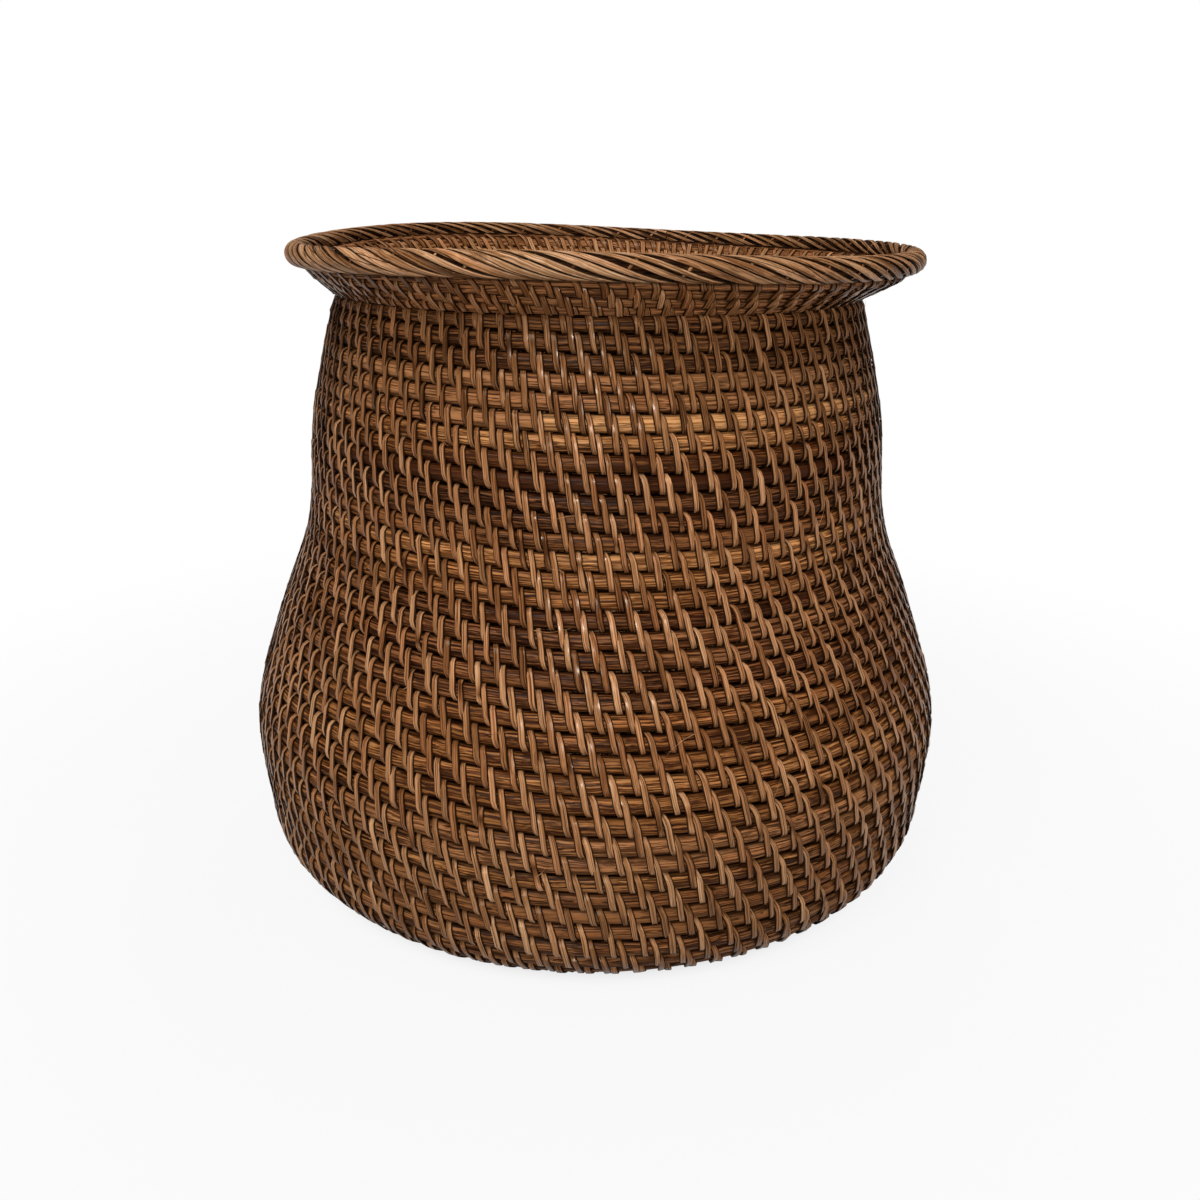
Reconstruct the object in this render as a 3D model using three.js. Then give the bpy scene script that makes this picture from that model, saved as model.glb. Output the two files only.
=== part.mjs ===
// Rattan planter basket, in millimetres, +Z up, standing on z = 0 and centred on the Z axis.
// One rod coil spirals out of the middle of the base, round the heel and up the belly to the neck.
// A thinner coil makes the flared collar, and a hoop wrapped with eight strands makes the rim.
// The coils climb clockwise as seen from above, and lengths of cane meet in long scarf splices.
import * as THREE from 'three';

// Coil of the base and the wall
const COIL_PITCH = 8.0; // from one turn to the next, measured along the wall
const COIL_GAP = 0.7; // room between two turns, where the lashing passes
const START_RADIUS = 7.0; // of the first bend in the middle of the base
const START_TAPER = 0.6; // thickness of the whittled tip there, as a share of the rod

// Line that the middle of the wall coil follows
const BASE_RADIUS = 138.5; // where the flat base turns up into the heel
const BASE_RISE = 3.0; // the middle of the base stands this much above its edge
const HEEL_RADIUS = 26.0;
const BELLY_RADIUS = 169.0;
const BELLY_HEIGHT = 72.0;
const FLANK_RADIUS = 156.0;
const FLANK_HEIGHT = 120.0;
const SHOULDER_RADIUS = 141.3;
const SHOULDER_HEIGHT = 165.0;
const THROAT_RADIUS = 137.0;
const THROAT_HEIGHT = 220.0;
const NECK_RADIUS = 125.4;
const NECK_HEIGHT = 276.0;

// Collar and rim
const COLLAR_REACH = 25.1; // from the neck out to the middle of the rim hoop
const COLLAR_RISE = 19.7; // and up to it
const COLLAR_PITCH = 6.4;
const COLLAR_GAP = 0.6; // room between two turns of the collar coil
const NECK_GAP = 0.8; // from the neck corner to the coil on either side of it
const RIM_SHIFT = 3.5; // the hand-made mouth sits this much to one side of the base
const RIM_THICKNESS = 10.6; // over the wrap
const RIM_SEAT_GAP = 0.3; // between the wrap and the collar
const STRAND_COUNT = 8;
const STRAND_WIDTH = 2.5;
const STRAND_THICKNESS = 1.1;
const STRAND_WINDINGS = 11; // of each strand round the hoop, once about the mouth
const HOOP_DIAMETER = 6.5;
// Slow waves of the rim's height: a tilt to one side, a bow and a ripple
const TILT_RISE = 2.5;
const TILT_ANGLE = 143; // degrees from +X, where the rim is highest
const BOW_RISE = 1.45;
const BOW_ANGLE = -69;
const RIPPLE_RISE = 1.15;
const RIPPLE_ANGLE = -107;

// Splices and facets
const SCARF_RUN = 12.0; // length of a slanted splice
const SPLICE_GAP = 0.7; // along the rod, between the two slanted faces
const TIP_THICKNESS = 1.6; // of a coil's end that is whittled thin
const SEAM_ANGLE = -75; // degrees from +X, where each coil ends level
const WALL_STEPS = 24; // facets in one turn
const CENTRE_STEPS = 12; // the same near the middle of the base
const WINDING_STEPS = 8; // facets in one winding of a rim strand
const HOOP_SIDES = 5;
const RING_SHARE = 0.4; // of a facet, which a splice keeps from the next ring
const ROUNDING_SHARE = 1e-6; // a turn this near to a ring, as a share of a facet, lies on it

// Lengths of cane in the wall from the neck down, with each one's colour. Their turns share out
// the coil in proportion, here and in the two lists below.
const WALL_CANES = [
  { turns: 3.2, color: 0x6b4a30 },
  { turns: 2.1, color: 0x86603c },
  { turns: 2.9, color: 0xa87a45 },
  { turns: 2.8, color: 0x7a5334 },
  { turns: 3.1, color: 0xa4703f },
  { turns: 4.7, color: 0x8a5c38 },
  { turns: 5.2, color: 0x9a6b41 },
  { turns: 1.9, color: 0x865a36 },
  { turns: 1.3, color: 0xb07e55 },
  { turns: 2.2, color: 0x7b563a },
  { turns: 3.3, color: 0x906845 },
  { turns: 1.8, color: 0x6f4d34 },
];
// Lengths of cane in the base, from its middle outwards
const BASE_CANES = [
  { name: 'base_coil_start', turns: 3.5, steps: CENTRE_STEPS, color: 0x8f6a43 },
  { name: 'base_coil_inner', turns: 4.5, steps: CENTRE_STEPS, color: 0x83603e },
  { name: 'base_coil_middle', turns: 4.6, steps: WALL_STEPS, color: 0x7a5838 },
  { name: 'base_coil_outer', turns: 4.1, steps: WALL_STEPS, color: 0x6f4d34 },
];
// Lengths of cane in the collar, from the neck up
const COLLAR_CANES = [
  { name: 'collar_coil_lower', turns: 2.8, color: 0x8a6540 },
  { name: 'collar_coil_upper', turns: 1.9, color: 0x94704a },
];
const HOOP_COLOR = 0x5d4130;
const STRAND_COLORS = [
  0xb98a58, 0xab7b4a, 0xc2946a, 0xa87446, 0xb8895c, 0xb07f50, 0xc09063, 0xa97a4c,
];

const ROUGHNESS = 0.55;
const TURN = 2 * Math.PI;
const DEGREE = Math.PI / 180;

// The rod's section: outward and along-the-wall offsets in half thicknesses, flat on the outside
const ROD_SECTION = [
  [0.9, -0.6],
  [0.9, 0.6],
  [-0.15, 1.0],
  [-1.05, 0.0],
  [-0.15, -1.0],
];

const rodThickness = COIL_PITCH - COIL_GAP;
const footDepth = (ROD_SECTION[0][0] * rodThickness) / 2;
const footLevel = footDepth - rodThickness / 10; // the coil is cut flat by a tenth where it stands
const rimRadius = NECK_RADIUS + COLLAR_REACH;
const rimHeight = NECK_HEIGHT + COLLAR_RISE;
const rimWaves = [
  { count: 1, rise: TILT_RISE, crest: TILT_ANGLE * DEGREE },
  { count: 2, rise: BOW_RISE, crest: BOW_ANGLE * DEGREE },
  { count: 3, rise: RIPPLE_RISE, crest: RIPPLE_ANGLE * DEGREE },
];

// Half of the basket's outline, from the middle of the base to the neck
function wallLine() {
  const line = new THREE.Path();
  const third = BASE_RADIUS / 3;
  line.moveTo(0, footLevel + BASE_RISE);
  line.bezierCurveTo(third, footLevel + BASE_RISE, 2 * third, footLevel, BASE_RADIUS, footLevel);
  line.absarc(BASE_RADIUS, footLevel + HEEL_RADIUS, HEEL_RADIUS, -Math.PI / 2, 0, false);
  line.splineThru([
    new THREE.Vector2(BELLY_RADIUS, BELLY_HEIGHT),
    new THREE.Vector2(FLANK_RADIUS, FLANK_HEIGHT),
    new THREE.Vector2(SHOULDER_RADIUS, SHOULDER_HEIGHT),
    new THREE.Vector2(THROAT_RADIUS, THROAT_HEIGHT),
    new THREE.Vector2(NECK_RADIUS, NECK_HEIGHT),
  ]);
  return line;
}

// The straight flare of the collar, from the neck to the middle of the rim hoop
function collarLine() {
  const line = new THREE.Path();
  line.moveTo(NECK_RADIUS, NECK_HEIGHT);
  line.lineTo(rimRadius, rimHeight);
  return line;
}

function rimWave(angle) {
  const waves = rimWaves.map(({ count, rise, crest }) => rise * Math.cos(count * (angle - crest)));
  return waves.reduce((sum, wave) => sum + wave, 0);
}

// A point beside a line of the outline: `out` from it and `along` it, turned to `angle`.
// `flare` says how far up the collar it is, because the mouth's waves and its shift grow with that.
function besideLine(line, distance, out, along, angle, flare) {
  const share = THREE.MathUtils.clamp(distance / line.getLength(), 0, 1);
  const point = line.getPoint(share);
  const tangent = line.getTangent(share);
  const radius = point.x + tangent.y * out + tangent.x * along;
  const height = point.y - tangent.x * out + tangent.y * along;
  return new THREE.Vector3(
    radius * Math.cos(angle) + RIM_SHIFT * flare,
    radius * Math.sin(angle),
    Math.max(height + rimWave(angle) * flare, 0),
  );
}

// A coil between two levels of a line. Turn 0 is where its last full turn ends, at the seam.
// Above that the rod is whittled until the coil's top edge is level; `foot` whittles its start too.
function makeCoil({ line, bottom, top, pitch, gap, foot, flared }) {
  const full = (pitch - gap) / 2;
  const rows = (top - bottom) / pitch;
  const tip = (TIP_THICKNESS + gap) / pitch;
  const endTurn = 1 - tip;
  const startTurn = foot ? tip - rows : (START_RADIUS - top + pitch / 2) / pitch;

  // Distance along the line of the rod's middle, and half its thickness there
  function rodAt(turn) {
    if (turn > 0) {
      return { distance: top - (pitch * (1 - turn)) / 2, half: (pitch * (1 - turn) - gap) / 2 };
    }
    const grown = turn + rows;
    if (foot && grown < 1) {
      return { distance: bottom + (pitch * grown) / 2, half: (pitch * grown - gap) / 2 };
    }
    const whittled = foot ? 1 : Math.min(1, START_TAPER + (turn - startTurn));
    return { distance: top - pitch / 2 + pitch * turn, half: full * whittled };
  }

  function corner(turn, [out, along]) {
    const { distance, half } = rodAt(turn);
    const depth = full * Math.sqrt(half / full);
    const flare = flared ? (distance + along * half) / line.getLength() : 0;
    const angle = SEAM_ANGLE * DEGREE - turn * TURN;
    return besideLine(line, distance, out * depth, along * half, angle, flare);
  }
  const radiusAt = (turn) => line.getPoint(rodAt(turn).distance / line.getLength()).x;
  return { startTurn, endTurn, radiusAt, corner };
}

// Corners are worked out on a fixed grid of angles and joined by straight facets,
// so that two turns side by side keep their gap and a splice lies on the facet it cuts.
function onFacet(corner, turn, offsets, steps) {
  const place = turn * steps;
  const before = Math.floor(place + ROUNDING_SHARE);
  const share = place - before;
  const first = corner(before / steps, offsets);
  if (share < ROUNDING_SHARE) return first;
  return first.lerp(corner((before + 1) / steps, offsets), share);
}

// The stretch of a coil between two turns, slanted where it meets another length of cane
function coilStretch(coil, from, to, steps, scarfFrom, scarfTo) {
  const stepTurn = 1 / steps;
  function ring(turn, scarf) {
    const around = TURN * coil.radiusAt(turn);
    const lean = scarf ? Math.min(SCARF_RUN / 2 / around, stepTurn / 3) : 0;
    return ROD_SECTION.map((offsets) => onFacet(coil.corner, turn + lean * offsets[0], offsets, steps));
  }
  const rings = [ring(from, scarfFrom)];
  const first = Math.ceil(from * steps + RING_SHARE);
  const last = Math.floor(to * steps - RING_SHARE);
  for (let i = first; i <= last; i += 1) {
    rings.push(ring(i / steps, false));
  }
  rings.push(ring(to, scarfTo));
  return closedTube(rings);
}

// One closed body through a row of rings with the same number of corners.
// Each facet is split along its shorter diagonal, which keeps a twisted strand full.
function closedTube(rings) {
  const sides = rings[0].length;
  const points = rings.flat();
  const positions = points.flatMap((point) => point.toArray());
  const faces = [];
  for (let i = 0; i + 1 < rings.length; i += 1) {
    for (let j = 0; j < sides; j += 1) {
      const a = i * sides + j;
      const b = i * sides + ((j + 1) % sides);
      const isForward = points[a].distanceTo(points[b + sides]) < points[b].distanceTo(points[a + sides]);
      if (isForward) faces.push([a, b, b + sides], [a, b + sides, a + sides]);
      else faces.push([a, b, a + sides], [b, b + sides, a + sides]);
    }
  }
  const end = (rings.length - 1) * sides;
  for (let j = 1; j + 1 < sides; j += 1) {
    faces.push([0, j + 1, j], [end, end + j, end + j + 1]);
  }
  const outward = enclosedVolume(positions, faces) > 0;
  const geometry = new THREE.BufferGeometry();
  geometry.setAttribute('position', new THREE.Float32BufferAttribute(positions, 3));
  geometry.setIndex(faces.flatMap(([a, b, c]) => (outward ? [a, b, c] : [a, c, b])));
  geometry.computeVertexNormals();
  return geometry;
}

function enclosedVolume(positions, faces) {
  const at = (i) => new THREE.Vector3().fromArray(positions, 3 * i);
  return faces.reduce((sum, [a, b, c]) => sum + at(a).dot(at(b).cross(at(c))) / 6, 0);
}

function addPiece(group, name, geometry, color) {
  const material = new THREE.MeshStandardMaterial({ color, roughness: ROUGHNESS, metalness: 0 });
  const mesh = new THREE.Mesh(geometry, material);
  mesh.name = name;
  group.add(mesh);
}

// Splices lie in the middle of a facet, as near as can be to the turn asked for
function spliceNear(turn, steps) {
  return (Math.round(turn * steps - 0.5) + 0.5) / steps;
}

// Cuts a stretch of a coil into its lengths of cane, from the lowest turn to the highest
function addCanes(group, coil, canes, from, to, openBelow, openAbove) {
  const listed = canes.reduce((sum, { turns }) => sum + turns, 0);
  let begin = from;
  canes.forEach(({ name, turns, steps, color }, index) => {
    const isLast = index === canes.length - 1;
    const end = isLast ? to : spliceNear(begin + (turns * (to - from)) / listed, steps);
    const gap = SPLICE_GAP / (TURN * coil.radiusAt(end));
    const meetsBelow = index > 0 || openBelow;
    const meetsAbove = !isLast || openAbove;
    addPiece(group, name, coilStretch(coil, begin, end, steps, meetsBelow, meetsAbove), color);
    begin = end + gap;
  });
  return begin;
}

// Least clear distance between two turns of a coil, taken corner to corner
function leastCoilGap(coil, from, to, steps) {
  let least = Infinity;
  for (let i = Math.ceil(from * steps); i / steps + 1 <= to; i += 1) {
    const below = coil.corner(i / steps, ROD_SECTION[2]);
    const above = coil.corner(i / steps + 1, ROD_SECTION[4]);
    least = Math.min(least, below.distanceTo(above));
  }
  return least;
}

function addBaseAndWall(group) {
  const line = wallLine();
  const coil = makeCoil({
    line,
    bottom: 0,
    top: line.getLength() - NECK_GAP,
    pitch: COIL_PITCH,
    gap: COIL_GAP,
    foot: false,
    flared: false,
  });
  const baseEdge = line.curves[0].getLength() / line.getLength();
  const turnsAbove = (line.getLength() * (1 - baseEdge)) / COIL_PITCH;
  const footTurn = spliceNear(-turnsAbove, WALL_STEPS);
  const wallStart = addCanes(group, coil, BASE_CANES, coil.startTurn, footTurn, false, true);

  // The wall's lengths are listed from the neck down, and made from the foot up
  const fromTop = WALL_CANES.map((cane, index) => ({
    ...cane,
    name: `wall_coil_${String(index + 1).padStart(2, '0')}`,
    steps: WALL_STEPS,
  }));
  addCanes(group, coil, fromTop.reverse(), wallStart, coil.endTurn, true, false);
  const gap = leastCoilGap(coil, coil.startTurn, coil.endTurn, WALL_STEPS);
  console.log(`wall coil: least gap between turns ${gap.toFixed(2)} mm`);
}

function addCollar(group) {
  const line = collarLine();
  const top = line.getLength() - RIM_THICKNESS / 2 - RIM_SEAT_GAP;
  const coil = makeCoil({
    line,
    bottom: NECK_GAP,
    top,
    pitch: COLLAR_PITCH,
    gap: COLLAR_GAP,
    foot: true,
    flared: true,
  });
  const canes = COLLAR_CANES.map((cane) => ({ ...cane, steps: WALL_STEPS }));
  addCanes(group, coil, canes, coil.startTurn, coil.endTurn, false, false);
  const gap = leastCoilGap(coil, coil.startTurn, coil.endTurn, WALL_STEPS);
  console.log(`collar coil: least gap between turns ${gap.toFixed(2)} mm`);
}

// A point in the rim's section: `reach` from the hoop's middle at `roll`, then `aside` from that
function inRim(angle, roll, reach, aside) {
  const out = reach * Math.cos(roll) - aside * Math.sin(roll);
  const up = reach * Math.sin(roll) + aside * Math.cos(roll);
  return new THREE.Vector3(
    (rimRadius + out) * Math.cos(angle) + RIM_SHIFT,
    (rimRadius + out) * Math.sin(angle),
    rimHeight + up + rimWave(angle),
  );
}

// A hoop or strand once about the mouth, whose two ends meet in a splice
function rimTube(cornerAt, corners, steps) {
  const gapTurn = SPLICE_GAP / (TURN * rimRadius);
  const rings = [];
  for (let i = 0; i <= steps; i += 1) {
    const turn = i === steps ? 1 - gapTurn : i / steps;
    rings.push(corners.map((offsets) => onFacet(cornerAt, turn, offsets, steps)));
  }
  return closedTube(rings);
}

function addRim(group) {
  const steps = STRAND_WINDINGS * WINDING_STEPS;
  const start = -SEAM_ANGLE * DEGREE;
  const hoopCorners = Array.from({ length: HOOP_SIDES }, (_, k) => (k * TURN) / HOOP_SIDES);
  const hoopAt = (turn, roll) => inRim(start + turn * TURN, roll, HOOP_DIAMETER / 2, 0);
  addPiece(group, 'rim_core_hoop', rimTube(hoopAt, hoopCorners, steps), HOOP_COLOR);

  // A strand crosses the rim's section on the slant, so it is wider there than across itself
  const middle = RIM_THICKNESS / 2 - STRAND_THICKNESS / 2;
  const lay = (TURN * rimRadius) / STRAND_WINDINGS;
  const halfWidth = STRAND_WIDTH / 2 / Math.cos(Math.atan2(TURN * middle, lay));
  const outside = Math.sqrt((RIM_THICKNESS / 2) ** 2 - halfWidth ** 2);
  const inside = outside - STRAND_THICKNESS;
  const strandCorners = [
    [outside, -halfWidth],
    [outside, halfWidth],
    [inside, halfWidth],
    [inside, -halfWidth],
  ];
  for (let k = 0; k < STRAND_COUNT; k += 1) {
    const strandAt = (turn, [reach, aside]) => {
      const roll = (k / STRAND_COUNT - turn * STRAND_WINDINGS) * TURN;
      return inRim(start + turn * TURN, roll, reach, aside);
    };
    const strand = rimTube(strandAt, strandCorners, steps);
    addPiece(group, `rim_wrap_strand_${k + 1}`, strand, STRAND_COLORS[k % STRAND_COLORS.length]);
  }
  // Facets cut the corners of a winding, which brings the strands in towards the hoop and each other
  const closest = inside * Math.cos(Math.PI / WINDING_STEPS);
  const share = Math.PI / STRAND_COUNT;
  const apart = 2 * (closest * Math.tan(share) - halfWidth) * Math.cos(share);
  const offHoop = closest - HOOP_DIAMETER / 2;
  console.log(`rim strands: ${apart.toFixed(2)} mm apart, ${offHoop.toFixed(2)} mm off the hoop`);
}

const basket = new THREE.Group();
addBaseAndWall(basket);
addCollar(basket);
addRim(basket);

export default basket;
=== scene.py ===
"""Rattan planter basket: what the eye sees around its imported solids.

One rod coil makes the base and the wall and a thinner one the flared collar. Strips of flat peel lash
the rows together, two rows to a stitch, and more strips wrap the hoop of the rim.
Lengths are in millimetres until a mesh is stored, and in metres from there on.
"""
import logging
import math
from dataclasses import dataclass, field
from enum import Enum
from typing import Sequence

import bpy
import numpy as np
from mathutils import Matrix, Vector


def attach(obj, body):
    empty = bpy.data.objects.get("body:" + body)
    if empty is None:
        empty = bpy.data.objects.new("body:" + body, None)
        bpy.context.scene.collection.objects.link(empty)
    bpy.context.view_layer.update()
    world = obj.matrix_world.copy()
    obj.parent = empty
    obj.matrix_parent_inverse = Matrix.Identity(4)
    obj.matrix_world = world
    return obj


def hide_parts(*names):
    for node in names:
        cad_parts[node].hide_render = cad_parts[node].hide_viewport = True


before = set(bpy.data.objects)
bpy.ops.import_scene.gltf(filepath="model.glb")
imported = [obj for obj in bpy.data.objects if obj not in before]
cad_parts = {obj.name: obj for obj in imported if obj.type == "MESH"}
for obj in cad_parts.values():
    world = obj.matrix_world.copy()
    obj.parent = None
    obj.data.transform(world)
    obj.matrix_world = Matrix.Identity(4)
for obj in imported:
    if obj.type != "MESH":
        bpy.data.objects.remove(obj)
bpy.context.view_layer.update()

log = logging.getLogger("basket")

MM = 0.001
TURN = 2 * math.pi
SEAM_ANGLE = math.radians(-75)  # from +X, where each coil ends level
NO_SPLIT = -9.0  # a place across a strip that is nowhere on it
SOLID_STEPS = 24  # facets in one turn of the solid coils
STRIP_SHARP, ROD_SHARP, RING_SHARP = 35, 60, 80  # edges bent more stay sharp, in degrees


# Straight stock, modelled once with operators and bent to its place in code


def deselect_all() -> None:
    """Leaves nothing selected, so that an operator touches only what comes next."""
    if bpy.context.mode != "OBJECT":
        bpy.ops.object.mode_set(mode="OBJECT")
    bpy.ops.object.select_all(action="DESELECT")


def taken_apart(piece: bpy.types.Object) -> tuple[np.ndarray, np.ndarray, np.ndarray]:
    """Reads a modelled piece and removes it from the scene.

    Args:
        piece: a mesh object.

    Returns:
        A row for each vertex, the vertex of each face corner and the number of corners of each face.
    """
    mesh = piece.data
    points = np.empty(len(mesh.vertices) * 3)
    mesh.vertices.foreach_get("co", points)
    loops = np.empty(len(mesh.loops), np.int32)
    mesh.loops.foreach_get("vertex_index", loops)
    sizes = np.empty(len(mesh.polygons), np.int32)
    mesh.polygons.foreach_get("loop_total", sizes)
    bpy.data.objects.remove(piece)
    bpy.data.meshes.remove(mesh)
    return points.reshape(-1, 3), loops, sizes


@dataclass
class Stock:
    """A straight length of rod or strip that is bent onto the basket.

    Attributes:
        corners: one row per vertex: 0..1 along it, then -1..1 across and -1..1 through it.
        loops: the vertex of each face corner.
        sizes: the number of corners of each face.
    """

    corners: np.ndarray
    loops: np.ndarray
    sizes: np.ndarray

    @classmethod
    def taken_from(cls, piece: bpy.types.Object) -> "Stock":
        """Takes a modelled piece over as stock.

        Args:
            piece: a mesh object whose X runs along the stock.

        Returns:
            The stock, with its length and its half sizes scaled to one.
        """
        points, loops, sizes = taken_apart(piece)
        low, high = points.min(0), points.max(0)
        corners = (points - low) / (high - low)
        corners[:, 1:] = corners[:, 1:] * 2 - 1
        return cls(corners, loops, sizes)

    def faces(self, copies: int = 1, inside_out: bool = False) -> tuple[np.ndarray, np.ndarray]:
        """Lists the faces of copies of it that are stored one after the other.

        Args:
            copies: how many there are.
            inside_out: the faces are turned round, for copies that are bent the other way.

        Returns:
            The vertex of each face corner and the number of corners of each face.
        """
        order = np.arange(len(self.loops))
        if inside_out:
            spans = zip(np.cumsum(self.sizes), self.sizes)
            order = np.concatenate([np.arange(end - 1, end - size - 1, -1) for end, size in spans])
        firsts = np.arange(copies)[:, None] * len(self.corners)
        return (self.loops[order] + firsts).ravel(), np.tile(self.sizes, copies)


def strip_stock(cuts: int, shoulder: float) -> Stock:
    """Models one straight strip of peel: a bar with rounded shoulders, cut across into short bays.

    Args:
        cuts: how many cuts cross the strip.
        shoulder: how far in from each side the shoulder starts, as a share of the width.

    Returns:
        The strip as stock.
    """
    deselect_all()
    bpy.ops.mesh.primitive_cube_add(size=1, location=(0.5, 0, 0))
    strip = bpy.context.object
    bpy.ops.object.mode_set(mode="EDIT")
    bpy.ops.mesh.select_all(action="DESELECT")
    bpy.ops.object.mode_set(mode="OBJECT")
    for edge in strip.data.edges:
        ends = [strip.data.vertices[i].co for i in edge.vertices]
        edge.select = all(end.z > 0 for end in ends) and abs(ends[0].x - ends[1].x) > 0.5
    bpy.ops.object.mode_set(mode="EDIT")
    bpy.ops.mesh.select_mode(type="EDGE")
    bpy.ops.mesh.bevel(offset=shoulder, offset_type="OFFSET", segments=1, affect="EDGES")
    for cut in range(1, cuts + 1):
        bpy.ops.mesh.select_all(action="SELECT")
        bpy.ops.mesh.bisect(plane_co=(cut / (cuts + 1), 0, 0), plane_no=(1, 0, 0))
    bpy.ops.object.mode_set(mode="OBJECT")
    return Stock.taken_from(strip)


def rod_stock(steps: int, sides: int) -> Stock:
    """Models a straight length of round cane from one short drum, repeated and closed at its ends.

    Args:
        steps: how many drums the length has.
        sides: facets round the cane.

    Returns:
        The length as stock.
    """
    deselect_all()
    bpy.ops.mesh.primitive_cylinder_add(vertices=sides, radius=1, depth=1, end_fill_type="NOTHING")
    drum = bpy.context.object
    bpy.ops.object.mode_set(mode="EDIT")
    bpy.ops.mesh.select_all(action="SELECT")
    bpy.ops.transform.rotate(value=math.pi / 2, orient_axis="Y", center_override=(0, 0, 0))
    bpy.ops.object.mode_set(mode="OBJECT")
    row = drum.modifiers.new("row", "ARRAY")
    row.count = steps
    row.relative_offset_displace = (1, 0, 0)
    row.use_merge_vertices = True
    row.merge_threshold = 0.01
    bpy.ops.object.modifier_apply(modifier="row")
    bpy.ops.object.mode_set(mode="EDIT")
    bpy.ops.mesh.select_mode(type="EDGE")
    bpy.ops.mesh.select_all(action="DESELECT")
    bpy.ops.mesh.select_non_manifold()
    bpy.ops.mesh.edge_face_add()
    bpy.ops.mesh.select_all(action="SELECT")
    bpy.ops.mesh.normals_make_consistent(inside=False)
    bpy.ops.object.mode_set(mode="OBJECT")
    return Stock.taken_from(drum)


def store_piece(
    name: str,
    points: np.ndarray,
    faces: tuple[np.ndarray, np.ndarray],
    marks: dict[str, np.ndarray | float],
    sharp_angle: float,
) -> bpy.types.Object:
    """Stores a finished mesh with its marks for the finishes.

    Args:
        name: of the piece.
        points: one row per vertex, in millimetres.
        faces: the vertex of each face corner and the number of corners of each face.
        marks: by the name of the attribute, one number for all, or per vertex a number or a row of three.
        sharp_angle: edges bent more than this stay sharp, in degrees.

    Returns:
        The new object, at the origin.
    """
    loops, sizes = faces
    mesh = bpy.data.meshes.new(name)
    mesh.vertices.add(len(points))
    mesh.vertices.foreach_set("co", (points * MM).astype(np.float32).ravel())
    mesh.loops.add(len(loops))
    mesh.loops.foreach_set("vertex_index", loops.astype(np.int32))
    mesh.polygons.add(len(sizes))
    mesh.polygons.foreach_set("loop_start", (np.cumsum(sizes) - sizes).astype(np.int32))
    mesh.update(calc_edges=True)
    mesh.validate()
    for mark, given in marks.items():
        values = np.asarray(given, np.float32) if np.ndim(given) else np.full(len(points), given, np.float32)
        kind, key = ("FLOAT_VECTOR", "vector") if values.ndim == 2 else ("FLOAT", "value")
        mesh.attributes.new(mark, kind, "POINT").data.foreach_set(key, values.ravel())
    piece = bpy.data.objects.new(name, mesh)
    bpy.context.scene.collection.objects.link(piece)
    deselect_all()
    piece.select_set(True)
    bpy.context.view_layer.objects.active = piece
    bpy.ops.object.shade_smooth_by_angle(angle=math.radians(sharp_angle))
    return piece


# The basket's outline and its coils


@dataclass
class Outline:
    """Half of the basket's outline, as close points with their distance along it.

    Attributes:
        points: radius and height of each point.
        reached: distance along it.
        slopes: its direction there.
    """

    points: np.ndarray
    reached: np.ndarray = field(init=False)
    slopes: np.ndarray = field(init=False)

    def __post_init__(self) -> None:
        """Adds up the distances."""
        steps = np.linalg.norm(np.diff(self.points, axis=0), axis=1)
        apart = steps > 1e-9
        self.points = self.points[np.concatenate([[True], apart])]
        self.reached = np.concatenate([[0], np.cumsum(steps[apart])])
        self.slopes = np.gradient(self.points, self.reached, axis=0)
        self.slopes /= np.linalg.norm(self.slopes, axis=1)[:, None]

    @property
    def length(self) -> float:
        """Its whole length."""
        return float(self.reached[-1])

    def at(self, distance: np.ndarray) -> tuple[np.ndarray, np.ndarray, np.ndarray, np.ndarray]:
        """Finds places on the outline, which goes straight on past its ends.

        Args:
            distance: along it.

        Returns:
            Radius, height and the outline's direction there, as its radial and upward parts.
        """
        near = np.clip(distance, 0, self.length)
        past = distance - near
        radius, height = (np.interp(near, self.reached, self.points[:, i]) for i in (0, 1))
        across, rise = (np.interp(near, self.reached, self.slopes[:, i]) for i in (0, 1))
        return radius + past * across, height + past * rise, across, rise


def wall_outline(foot_level: float) -> Outline:
    """Draws the line of the base and the wall, as in the part's source.

    Args:
        foot_level: height of the rod's middle where the basket stands.

    Returns:
        The line, from the middle of the base to the neck.
    """
    base_radius, base_rise, heel_radius = 138.5, 3.0, 26.0
    share = np.linspace(0, 1, 400)[:, None]
    held = [(0, foot_level + base_rise), (base_radius / 3, foot_level + base_rise),
            (2 * base_radius / 3, foot_level), (base_radius, foot_level)]
    base = sum(
        math.comb(3, i) * (1 - share) ** (3 - i) * share**i * np.array(held[i]) for i in range(4)
    )
    swing = np.linspace(-math.pi / 2, 0, 200)
    heel = np.stack([base_radius + heel_radius * np.cos(swing),
                     foot_level + heel_radius * (1 + np.sin(swing))], 1)
    held = ((169.0, 72.0), (156.0, 120.0), (141.3, 165.0), (137.0, 220.0), (125.4, 276.0))
    marks = np.array([heel[-1], *held])
    spans = []
    for i in range(len(marks) - 1):
        before, after = marks[max(i - 1, 0)], marks[min(i + 2, len(marks) - 1)]
        pull, push = (marks[i + 1] - before) / 2, (after - marks[i]) / 2
        rest = 2 * (marks[i] - marks[i + 1]) + pull + push
        turn = 3 * (marks[i + 1] - marks[i]) - 2 * pull - push
        spans.append(rest * share**3 + turn * share**2 + pull * share + marks[i])
    return Outline(np.concatenate([base, heel, *spans]))


def rim_wave(angle: np.ndarray) -> np.ndarray:
    """Gives the rise of the hand-made rim above its level at an angle about the basket."""
    waves = ((1, 2.5, 143), (2, 1.45, -69), (3, 1.15, -107))
    return sum(rise * np.cos(count * (angle - math.radians(crest))) for count, rise, crest in waves)


class Side(Enum):
    """The two faces of the woven shell."""

    OUTSIDE = 1
    INSIDE = -1


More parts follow.
